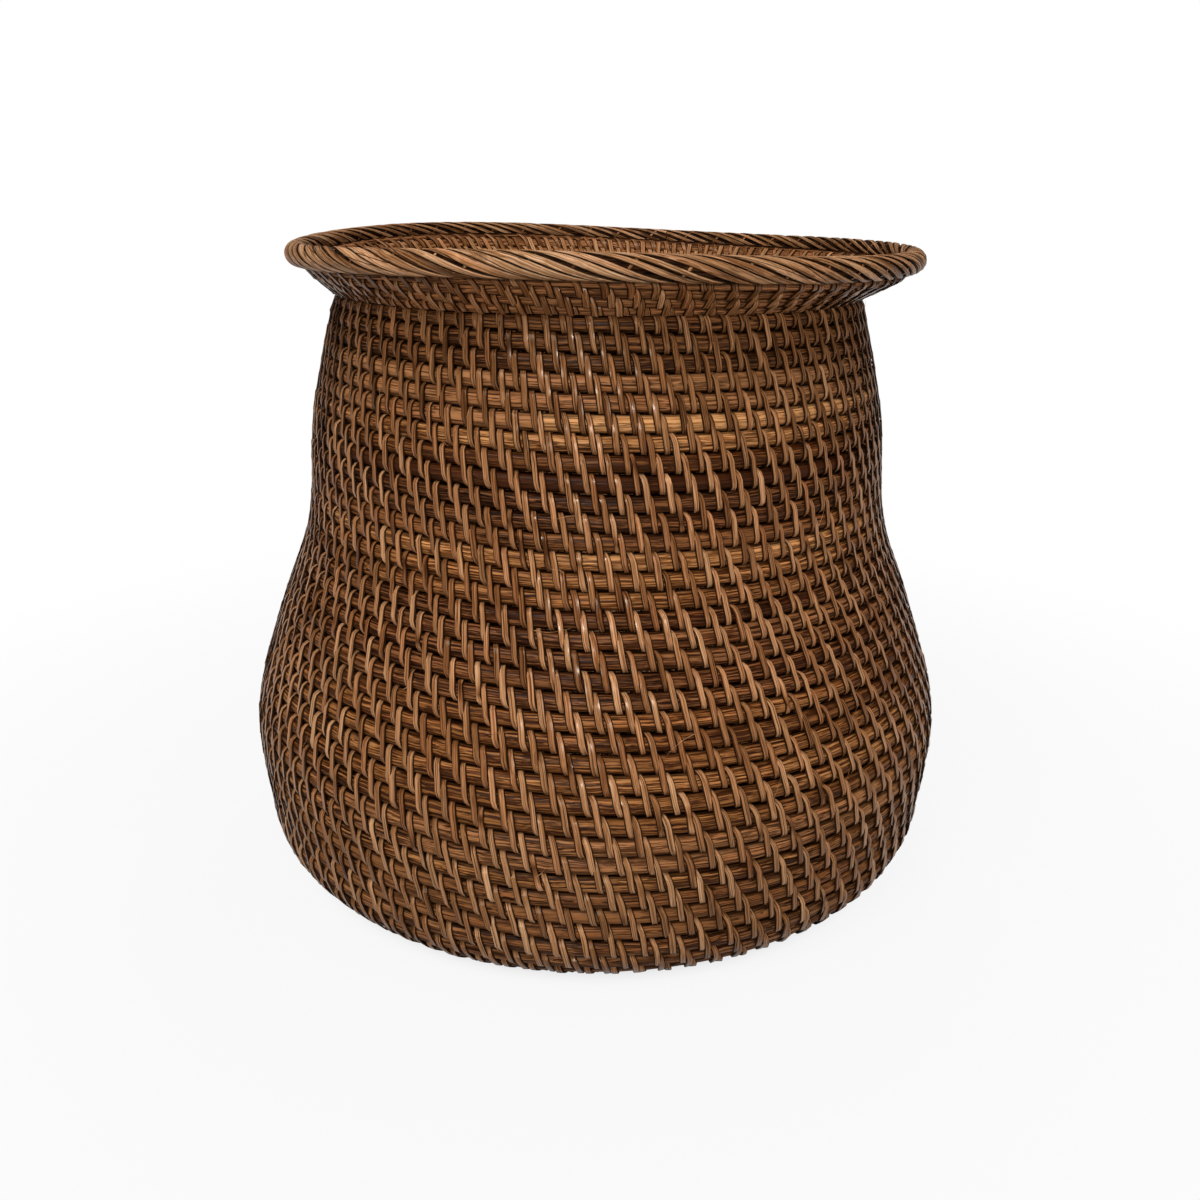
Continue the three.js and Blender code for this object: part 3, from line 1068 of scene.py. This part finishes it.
@dataclass
class WovenShell:
    """The base and the wall: one rod coil from the middle of the base to the neck, and its lashing.

    Attributes:
        pitch, gap: from one turn to the next, and the room between two turns of the solid part.
        neck_gap: from the end of the coil to the neck.
        band_rows: rows of lashing in one piece.
        curl: the share of a turn by which the cane starts further in than the solid.
        knot_strips, knot_reach, knot_width: of the strips that cross over the middle of the base.
        heart_radius, heart_depth: of the curled start of the cane.
    """

    pitch: float = 8.0
    gap: float = 0.7
    neck_gap: float = 0.35
    band_rows: float = 4.0
    curl: float = 0.6
    knot_strips: int = 6
    knot_reach: float = 11.0
    knot_width: float = 2.5
    heart_radius: float = 5.8
    heart_depth: float = 3.4
    coil: Coil = field(init=False)

    WALL = (
        Cane("wall_coil_12", 1.8, 0.50, "cane_dark"),
        Cane("wall_coil_11", 3.3, 0.42, "cane_medium", 0.4),
        Cane("wall_coil_10", 2.2, 0.98, "cane_dark"),
        Cane("wall_coil_09", 1.3, 0.35, "cane_light"),
        Cane("wall_coil_08", 1.9, 0.75, "cane_medium"),
        Cane("wall_coil_07", 5.2, 0.26, "cane_light"),
        Cane("wall_coil_06", 4.7, 0.38, "cane_medium", -0.1),
        Cane("wall_coil_05", 3.1, 0.45, "cane_light", 0.6),
        Cane("wall_coil_04", 2.8, 0.52, "cane_dark", -0.6),
        Cane("wall_coil_03", 2.9, 0.27, "cane_light", 1.5),
        Cane("wall_coil_02", 2.1, 0.88, "cane_medium", -0.15),
        Cane("wall_coil_01", 3.2, 0.60, "cane_dark", -0.15),
    )
    BASE = (
        Cane("base_coil_start", 3.5, 0.6, "cane_medium"),
        Cane("base_coil_inner", 4.5, 0.5, "cane_medium"),
        Cane("base_coil_middle", 4.6, 0.4, "cane_medium"),
        Cane("base_coil_outer", 4.1, 0.6, "cane_dark"),
    )

    def __post_init__(self) -> None:
        """Winds the coil."""
        thickness = self.pitch - self.gap
        outline = wall_outline(0.9 * thickness / 2 - thickness / 10)
        top = outline.length - self.neck_gap
        self.coil = Coil(
            outline, 0.0, top, self.pitch, self.gap, foot=False, flared=False, swell=0.29, tip_thickness=0.5
        )

    def build(self, paint: Paint, strip: Stock) -> None:
        """Makes the canes and the lashing on both faces.

        Args:
            paint: the materials.
            strip: the straight strip that every stitch is bent from.
        """
        maker = CaneMaker(self.coil)
        base_edge = float(self.coil.outline.reached[399])
        foot_turn = splice_near(-(self.coil.outline.length - base_edge) / self.pitch)
        wall_start = make_canes(maker, self.BASE, self.coil.start_turn - self.curl, foot_turn, paint, 40)
        self._knot(paint, strip)
        make_canes(maker, self.WALL, wall_start, self.coil.end_turn, paint, 60)
        for side in Side:
            lashing = Lashing(self.coil, side)
            turns = lashing.turns()
            bands = np.floor((turns[0] - turns) / self.band_rows).astype(int)
            for band in range(bands.max() + 1):
                name = f"lashing_{side.name.lower()}_{band + 1:02d}"
                piece = lashing.make(name, turns[bands == band], strip, 500 + 40 * side.value + band)
                paint.dress(piece, Finish.LASHING)

    def _knot(self, paint: Paint, strip: Stock) -> None:
        """Crosses a few strips over the middle of the base, on both faces, where the coil starts.

        Args:
            paint: the materials.
            strip: the straight strip that they are bent from.
        """
        draw = np.random.default_rng(11)
        share, across, through = strip.corners.T
        through = (through + 1) / 2
        height = float(self.coil.outline.points[0, 1])
        points, marks, loops = [], [], []
        for side in Side:
            for number in range(self.knot_strips):
                heading = math.pi * number / self.knot_strips + draw.normal(0, 0.08)
                reach = self.knot_reach * (2 * share - 1)
                level = self.coil.full + 0.35 + 0.16 * number - 4.0 * (2 * share - 1) ** 4 + 0.5 * through
                wide = across * self.knot_width / 2
                x = reach * math.cos(heading) - wide * math.sin(heading)
                y = reach * math.sin(heading) + wide * math.cos(heading)
                points.append(np.stack([x, y, height + side.value * level * 0.82], 1))
                lay = np.stack([share * 2 * self.knot_reach, wide, through * 0.5], 1) * MM
                lay = lay + draw.uniform(0, 6, 3)
                tone = np.full(len(share), draw.normal(0.45, 0.1))
                # The third column is the tuck: painted shade at the strip's ends.
                marks.append(np.column_stack([lay, tone, np.abs(2 * share - 1) ** 3, across]))
                loops.append(strip.faces(1, side is Side.INSIDE)[0] + len(share) * len(loops))
        table = np.concatenate(marks)
        named = {"lay": table[:, :3], "tone": table[:, 3], "tuck": table[:, 4], "across": table[:, 5]}
        named |= {"split": NO_SPLIT, "warmth": 0.1}
        faces = np.concatenate(loops), np.tile(strip.sizes, len(loops))
        piece = store_piece("base_knot", np.concatenate(points), faces, named, STRIP_SHARP)
        paint.dress(piece, Finish.LASHING)
        self._heart(paint, height)

    def _heart(self, paint: Paint, height: float) -> None:
        """Fills the middle of the base with the curled start of the cane.

        Args:
            paint: the materials.
            height: of the coil's middle there.
        """
        deselect_all()
        bpy.ops.mesh.primitive_uv_sphere_add(segments=24, ring_count=12, radius=1.0, location=(0, 0, 0))
        ball = Stock.taken_from(bpy.context.object)
        size = (self.heart_radius, self.heart_radius, self.heart_depth)
        points = (ball.corners * (2, 1, 1) - (1, 0, 0)) * size
        turned = np.hypot(points[:, 0], points[:, 1])
        lay = np.stack([np.arctan2(points[:, 1], points[:, 0]) * 4, turned, points[:, 2]], 1) * MM
        # Its tuck paints shade towards its edge, where it meets the coil.
        marks = {"lay": lay, "tone": 0.4, "tuck": turned / self.heart_radius, "warmth": 0.0}
        piece = store_piece("base_heart", points + (0, 0, height), ball.faces(), marks, ROD_SHARP)
        paint.dress(piece, Finish.MEDIUM_CANE)


@dataclass
class StrayFibres:
    """Splinters that stand off the wall where a strip or a cane has frayed.

    Attributes:
        coil: of the wall.
        many: how many there are.
        thickness: half of it, at the thick end.
    """

    coil: Coil
    many: int = 90
    thickness: float = 0.16

    def build(self, paint: Paint) -> None:
        """Makes them as one piece.

        Args:
            paint: the materials.
        """
        draw = np.random.default_rng(5)
        stock = rod_stock(7, 4)
        share, across, through = stock.corners[None].transpose(2, 0, 1)
        size = len(stock.corners)
        turns = self.coil.end_turn - draw.uniform(0.6, 32, self.many)
        length = draw.uniform(5, 16, self.many)[:, None]
        heading = draw.normal(0, 0.5, self.many)[:, None]
        heading = heading + np.where(draw.uniform(0, 1, self.many) < 0.5, 0, 2.0)[:, None]
        lift = draw.uniform(0.3, 1.6, self.many)[:, None]
        thick = self.thickness * (1 - 0.75 * share)
        run = length * share
        middle = self.coil.rod_at(turns)[0][:, None] + self.coil.pitch * 0.42
        distance = middle + run * np.sin(heading) + across * thick + 0.8 * np.sin(share * 4 + heading)
        out = self.coil.full + 0.6 + lift * share**1.5 + through * thick
        turn = turns[:, None] + run * np.cos(heading) / (TURN * self.coil.radius_at(turns)[:, None])
        points = self.coil.place(turn, distance, out).reshape(-1, 3)
        whole = np.ones((self.many, size))
        offset = draw.uniform(0, 6, (self.many, 3))
        lay = np.stack([run * whole, across * thick * whole, through * thick * whole], -1) * MM
        lay = lay + offset[:, None]
        marks = {
            "lay": lay.reshape(-1, 3),
            "tone": np.repeat(draw.uniform(0.2, 1.0, self.many), size),
            "tuck": 0.0,
            "across": 0.0,
            "split": NO_SPLIT,
            "warmth": 0.2,
        }
        piece = store_piece("stray_fibres", points, stock.faces(self.many, True), marks, ROD_SHARP)
        paint.dress(piece, Finish.LASHING)


@dataclass
class Collar:
    """The flared collar above the neck: a thinner coil and its lashing.

    Attributes:
        neck_radius, neck_height: where it starts.
        reach, rise: from the neck to the middle of the rim.
        pitch, gap, neck_gap, rim_thickness: as in the part's source.
        seat_gap: from the end of the coil to the rim.
        tip: thickness of the whittled end.
    """

    neck_radius: float = 125.4
    neck_height: float = 276.0
    reach: float = 25.1
    rise: float = 19.7
    pitch: float = 6.4
    gap: float = 0.6
    neck_gap: float = 0.35
    rim_thickness: float = 10.6
    seat_gap: float = -0.2
    tip: float = 0.3
    coil: Coil = field(init=False)

    CANES = (
        Cane("collar_coil_lower", 2.8, 0.80, "cane_medium"),
        # The upper cane darkens towards its top end: painted shade under the rim.
        Cane("collar_coil_upper", 1.9, 0.72, "cane_medium", -0.3),
    )
    LEANS = (
        (-120, 2.0), (-60, 2.4), (-35, 3.6), (-15, 5.4), (4, 5.2),
        (11, 4.8), (18, 4.4), (35, 3.8), (60, 2.6), (120, 2.0),
    )

    def __post_init__(self) -> None:
        """Winds the coil."""
        share = np.linspace(0, 1, 60)[:, None]
        low = np.array([self.neck_radius, self.neck_height])
        outline = Outline(low + share * np.array([self.reach, self.rise]))
        top = outline.length - self.rim_thickness / 2 - self.seat_gap
        self.coil = Coil(
            outline, self.neck_gap, top, self.pitch, self.gap, foot=True, flared=True, swell=0.25,
            tip_thickness=self.tip, flare_end=top - self.pitch / 2,
        )

    def build(self, paint: Paint, strip: Stock) -> None:
        """Makes the canes and the lashing on both faces.

        Args:
            paint: the materials.
            strip: the straight strip that every stitch is bent from.
        """
        make_canes(CaneMaker(self.coil), self.CANES, self.coil.start_turn, self.coil.end_turn, paint, 90)
        for side in Side:
            shorts = 0.2 if side is Side.OUTSIDE else 0.0
            lashing = Lashing(self.coil, side, width=2.5, rise=0.8, leans=self.LEANS, tone=0.46,
                              over_share=shorts)
            name = f"collar_lashing_{side.name.lower()}"
            piece = lashing.make(name, lashing.turns(), strip, 700 + side.value)
            paint.dress(piece, Finish.LASHING)


@dataclass
class Rim:
    """The rim: a hoop wound with strands of flat peel.

    Attributes:
        radius, height, shift, thickness, strands, windings: as in the part's source.
        steps: facets in one winding.
        peel: thickness of a strand.
        core: half the hoop's thickness.
        binder, binder_rounds: width and windings of the strip that binds the hoop under the strands.
        seat: half the thickness of the ring between the rim and the collar.
        shoulder: of the strips, as a share of their width.
        swell: the share by which the hand-wound rim is thicker at the front and thinner at the back.
        lift: how much higher than the solid rim it sits, which keeps its lower edge in place at the front.
    """

    radius: float = 150.5
    height: float = 295.7
    shift: float = 3.5
    thickness: float = 10.6
    strands: int = 8
    windings: int = 11
    steps: int = 26
    peel: float = 0.95
    core: float = 4.2
    binder: float = 1.5
    binder_rounds: int = 47
    seat: float = 1.5
    shoulder: float = 0.16
    swell: float = 0.09
    lift: float = 0.4
    crossings: np.ndarray = field(init=False)

    # Openings at the front, in millimetres, by the crossing that they follow
    OPENINGS = {41: 0.6, 42: 1.5, 43: 0.6, 44: 0.7, 45: 0.8, 46: 1.7,
                47: 0.8, 48: 2.3, 49: 1.2, 50: 2.2, 51: 0.6, 52: 0.7}

    def __post_init__(self) -> None:
        """Spreads the crossings round the rim as a hand does: close outside, more apart inside."""
        draw = np.random.default_rng(17)
        many = self.strands * self.windings
        spacing = self._across_lay * TURN * self.radius / many
        sides = []
        for open_share, narrow, broad in ((0.42, 1.2, 2.1), (0.75, 1.6, 3.2)):
            is_open = draw.uniform(0, 1, many) < open_share
            gaps = np.where(is_open, draw.uniform(narrow, broad, many), draw.uniform(0.5, 0.9, many))
            if not sides:
                gaps[list(self.OPENINGS)] = list(self.OPENINGS.values())
            bounds = spacing * draw.normal(0.5, 0.06, many)
            left = np.roll(bounds + gaps / 2, 1) - spacing
            right = bounds - gaps / 2
            sides.append(((left + right) / 2, np.maximum(right - left, 1.9)))
        self.crossings = np.array(sides)

    @property
    def _lean(self) -> float:
        """How far a strand turns from the rim's run, on the hoop's outside."""
        return math.atan2(TURN * self.thickness / 2, TURN * self.radius / self.windings)

    @property
    def _across_lay(self) -> float:
        """The share of a distance along the rim that is square to the strands."""
        return math.sin(self._lean)

    def build(self, paint: Paint) -> None:
        """Makes the hoop, the thin ring that it sits on, its binder and its strands.

        Args:
            paint: the materials.
        """
        paint.dress(self._ring("rim_core", self.core), Finish.RIM_CORE, ["rim_core_hoop"])
        collar_way = math.atan2(-Collar.rise, -Collar.reach)
        seat = self._ring("rim_seat", self.seat, collar_way, self.core + 1.0)
        paint.dress(seat, Finish.RIM_CORE)
        paint.dress(self._bound(), Finish.LASHING)
        stock = strip_stock(self.windings * self.steps - 1, self.shoulder)
        for number in range(self.strands):
            nodes = [f"rim_wrap_strand_{number + 1}"]
            paint.dress(self._strand(number, stock), Finish.RIM_PEEL, nodes)

    def _set(self, number: int, winding: np.ndarray) -> tuple[np.ndarray, np.ndarray]:
        """Finds how a strand lies at some places.

        Args:
            number: of the strand.
            winding: counted along it.

        Returns:
            How far it is off its even place, square to itself, and its width.
        """
        passed = (winding - number / self.strands) * 2
        before = np.floor(passed)
        blend = np.clip((passed - before - 0.25) * 2, 0, 1)
        blend = blend * blend * (3 - 2 * blend)
        found = []
        for crossing in (before, before + 1):
            place = (number + crossing * self.strands / 2).astype(int) % (self.strands * self.windings)
            found.append(self.crossings[crossing.astype(int) % 2, :, place])
        off, wide = (found[0] * (1 - blend[:, None]) + found[1] * blend[:, None]).T
        return off, wide

    def _place(self, angle: np.ndarray, roll: np.ndarray, reach: np.ndarray) -> np.ndarray:
        """Finds points in the rim.

        Args:
            angle: about the basket.
            roll: about the hoop, from outwards to upwards.
            reach: from the hoop's middle.

        Returns:
            One row per point, in millimetres.
        """
        reach = reach * (1 - self.swell * np.sin(angle))
        radius = self.radius + reach * np.cos(roll)
        height = self.height + self.lift + reach * np.sin(roll) + rim_wave(angle)
        return np.stack([radius * np.cos(angle) + self.shift, radius * np.sin(angle), height], -1)

    def _ring(self, name: str, thick: float, lean: float = 0.0, aside: float = 0.0) -> bpy.types.Object:
        """Models a ring, then gives it the rim's waves.

        Args:
            name: of the piece.
            thick: half its thickness.
            lean: the direction about the hoop's middle in which it is set off.
            aside: how far it is set off.

        Returns:
            The piece.
        """
        deselect_all()
        bpy.ops.mesh.primitive_torus_add(
            major_radius=self.radius, minor_radius=thick, major_segments=240, minor_segments=14
        )
        points, *faces = taken_apart(bpy.context.object)
        angle = np.arctan2(points[:, 1], points[:, 0])
        out, up = np.hypot(points[:, 0], points[:, 1]) - self.radius, points[:, 2]
        rough = 1 + 0.03 * np.sin(7 * angle) + 0.03 * np.sin(31 * angle + 2 * np.arctan2(up, out))
        out, up = out * rough + aside * math.cos(lean), up * rough + aside * math.sin(lean)
        points = self._place(angle, np.arctan2(up, out), np.hypot(out, up))
        lay = np.stack([(angle + 4) * self.radius, out, up], -1) * MM
        marks = {"lay": lay, "tone": 0.5, "tuck": 0.0, "warmth": 0.0}
        return store_piece(name, points, faces, marks, RING_SHARP)

    def _bound(self) -> bpy.types.Object:
        """Winds the binder round the hoop, against the strands.

        Returns:
            The piece.
        """
        draw = np.random.default_rng(31)
        rounds = self.binder_rounds
        stock = strip_stock(rounds * 12 - 1, self.shoulder)
        share, across, through = stock.corners.T
        winding = share * (rounds - 0.05)
        places = np.arange(rounds + 1)
        off = np.interp(winding, places, draw.normal(0, 0.12, len(places)))
        angle = -SEAM_ANGLE + (winding + off) * TURN / rounds + across * self.binder / 2 / self.radius
        reach = self.core + 0.3 * (through + 1) / 2 - 0.1 * (1 - through) / 2
        points = self._place(angle, winding * TURN, reach)
        length = rounds * 27.0  # of the whole binder, a little more than once round the hoop each time
        lay = np.stack([share * length, across * self.binder / 2, through * 0.2], -1) * MM
        marks = {
            "lay": lay,
            "tone": np.clip(np.interp(winding, places, draw.normal(0.3, 0.2, len(places))), 0, 1),
            "tuck": 0.0,
            "across": across,
            "split": NO_SPLIT,
            "warmth": 0.3,
        }
        return store_piece("rim_binder", points, stock.faces(1, True), marks, 50)

    def _strand(self, number: int, stock: Stock) -> bpy.types.Object:
        """Winds one strand round the hoop.

        Args:
            number: of the strand, from 0.
            stock: a straight strip, cut across once for each step.

        Returns:
            The piece.
        """
        draw = np.random.default_rng(900 + number)
        share, across, through = stock.corners.T
        through = (through + 1) / 2
        turn = share * (1 - 0.6 / (TURN * self.radius))
        winding = turn * self.windings
        off, wide = self._set(number, winding)
        aside = across * wide / 2
        roll = (number / self.strands - winding) * TURN
        under = np.exp(-((((roll + math.radians(72) + math.pi) % TURN) - math.pi) / 0.42) ** 2)
        places = np.arange(2 * self.windings + 2) / 2
        tilt = np.interp(winding, places, draw.normal(0, 0.14, len(places)))
        reach = self.thickness / 2 - self.peel * (1 - through) + tilt * across
        reach = reach - 0.32 * across**2 + 0.4 * under * (1 - 1.4 * across**2)
        roll = roll + aside * math.cos(self._lean) / reach
        angle = -SEAM_ANGLE + turn * TURN
        angle = angle + (off / self._across_lay + aside * math.sin(self._lean)) / self.radius
        points = self._place(angle, roll, reach)
        length = TURN * self.radius / math.cos(self._lean)
        lay = np.stack([share * length, aside, through * self.peel], -1) * MM + draw.uniform(0, 9, 3)
        tone = 0.5 + draw.normal(0, 0.08) + np.interp(winding, places, draw.normal(0, 0.13, len(places)))
        # Darker where the strand faces in towards the basket: painted shade on the hoop's inner side.
        tone = tone - 0.16 * np.clip(-np.cos(roll), 0, 1)
        marks = {
            "lay": lay,
            "tone": np.clip(tone, 0, 1),
            # The tuck paints shade on the underside, where the strand meets the collar.
            "tuck": np.clip((-np.sin(roll) - 0.8) / 0.2, 0, 1),
            "across": across,
            "split": np.interp(winding, places, draw.uniform(-3, 3, len(places))),
            "warmth": np.clip(np.interp(winding, places, draw.normal(0.15, 0.2, len(places))), 0, 1),
        }
        return store_piece(f"rim_peel_{number + 1}", points, stock.faces(), marks, STRIP_SHARP)


# Studio


@dataclass(frozen=True)
class Softbox:
    """One area light.

    Attributes:
        name: of the light.
        place: its middle, in metres.
        size: of its square face.
        power: in watts.
        in_gloss: it shows in glossy surfaces.
        in_matt: it lights matt surfaces.
    """

    name: str
    place: tuple[float, float, float]
    size: float
    power: float
    in_gloss: bool = False
    in_matt: bool = True

    def hang(self) -> None:
        """Adds the light, aimed at the middle of the basket."""
        light = bpy.data.lights.new(self.name, "AREA")
        light.size, light.energy = self.size, self.power
        lamp = bpy.data.objects.new(self.name, light)
        lamp.visible_glossy, lamp.visible_diffuse = self.in_gloss, self.in_matt
        bpy.context.scene.collection.objects.link(lamp)
        aim = Vector((0.0, 0.0, 0.16)) - Vector(self.place)
        lamp.matrix_world = Matrix.Translation(self.place) @ aim.to_track_quat("-Z", "Y").to_matrix().to_4x4()


@dataclass
class Studio:
    """A pale floor, soft light and the camera at the photograph's angle."""

    camera_place: tuple[float, float, float] = (0.0, -0.5946, 0.3244)
    pitch_down: float = 10.58
    roll: float = 0.358
    lens: float = 35.26
    shift: tuple[float, float] = (0.0023, -0.158)
    lamps: tuple[Softbox, ...] = (
        Softbox("Key", (-0.45, -1.00, 1.50), 0.9, 22.5, True),
        Softbox("Window", (-0.05, -1.70, 0.70), 0.13, 10.5, True),
        Softbox("Left", (-1.5, -0.9, 0.5), 1.4, 5.5),
        Softbox("Right", (1.4, -0.8, 0.5), 1.4, 10.5),
        Softbox("Top", (0.1, 0.1, 1.7), 1.2, 9.0),
        Softbox("Back", (0.3, 1.5, 1.2), 0.9, 14.0),
    )
    daylight: float = 0.1

    def build(self) -> None:
        """Sets everything up."""
        self._camera()
        self._floor()
        self._world()
        for lamp in self.lamps:
            lamp.hang()
        bpy.context.scene.view_settings.view_transform = "Standard"

    def _camera(self) -> None:
        """Places the camera."""
        data = bpy.data.cameras.new("Camera")
        data.sensor_width, data.lens = 36.0, self.lens
        data.shift_x, data.shift_y = self.shift
        data.clip_start = 0.01
        camera = bpy.data.objects.new("Camera", data)
        bpy.context.scene.collection.objects.link(camera)
        tilt = Matrix.Rotation(math.radians(90 - self.pitch_down), 4, "X")
        camera.matrix_world = (
            Matrix.Translation(self.camera_place) @ tilt @ Matrix.Rotation(math.radians(self.roll), 4, "Z")
        )
        bpy.context.scene.camera = camera

    def _floor(self) -> None:
        """Lays a floor that stays white to the camera and keeps the basket's shadow."""
        deselect_all()
        bpy.ops.mesh.primitive_circle_add(vertices=64, radius=6.0, fill_type="NGON", location=(0, 0, 0))
        floor = bpy.context.object
        floor.name = "floor"
        made = bpy.data.materials.new("Studio floor")
        made.use_nodes = True
        bench = NodeBench(made.node_tree)
        made.node_tree.nodes.remove(made.node_tree.nodes["Principled BSDF"])
        lit = bench.add("BsdfDiffuse", {"Color": (0.4, 0.4, 0.4, 1.0)})
        glow = bench.add("Emission", {"Color": (1.0, 1.0, 1.0, 1.0), "Strength": 1.0})
        path = bench.add("LightPath")
        seen = bench.math("MAXIMUM", path.outputs["Is Camera Ray"], path.outputs["Is Transmission Ray"])
        seen = bench.math("MAXIMUM", seen, bench.math("MULTIPLY", path.outputs["Is Glossy Ray"], 0.3))
        place = bench.add("TexCoord").outputs["Object"]
        away = bench.add("VectorMath", {0: place}, operation="LENGTH").outputs["Value"]  # from the axis
        limits = {0: away, 1: 0.2, 2: 0.6, 3: 0.9, 4: 1.0}
        faded = bench.add("MapRange", limits, interpolation_type="SMOOTHSTEP").outputs[0]
        clear = bench.math("MULTIPLY", faded, bench.ramp(away, 0.12, 0.16))
        share = bench.math("MULTIPLY", seen, clear)
        mixed = bench.add("MixShader", {0: share, 1: lit.outputs[0], 2: glow.outputs[0]})
        bench.feed(made.node_tree.nodes["Material Output"], {0: mixed.outputs[0]})
        floor.data.materials.append(made)

    def _world(self) -> None:
        """Surrounds the set with soft white light."""
        world = bpy.data.worlds.new("Studio")
        bpy.context.scene.world = world
        world.use_nodes = True
        bench = NodeBench(world.node_tree)
        path = bench.add("LightPath")
        seen = bench.math("MAXIMUM", path.outputs["Is Camera Ray"], path.outputs["Is Transmission Ray"])
        strength = bench.math("ADD", self.daylight, bench.math("MULTIPLY", seen, 1.0 - self.daylight))
        bench.feed(world.node_tree.nodes["Background"], {"Color": (1.0, 1.0, 1.0, 1.0), "Strength": strength})


def main() -> None:
    """Builds the basket and the set."""
    logging.basicConfig(level=logging.INFO, format="%(name)s: %(message)s")
    Studio().build()
    paint = Paint()
    strip = strip_stock(7, 0.12)
    shell = WovenShell()
    shell.build(paint, strip)
    StrayFibres(shell.coil).build(paint)
    Collar().build(paint, strip)
    Rim().build(paint)


if __name__ == "__main__":
    main()
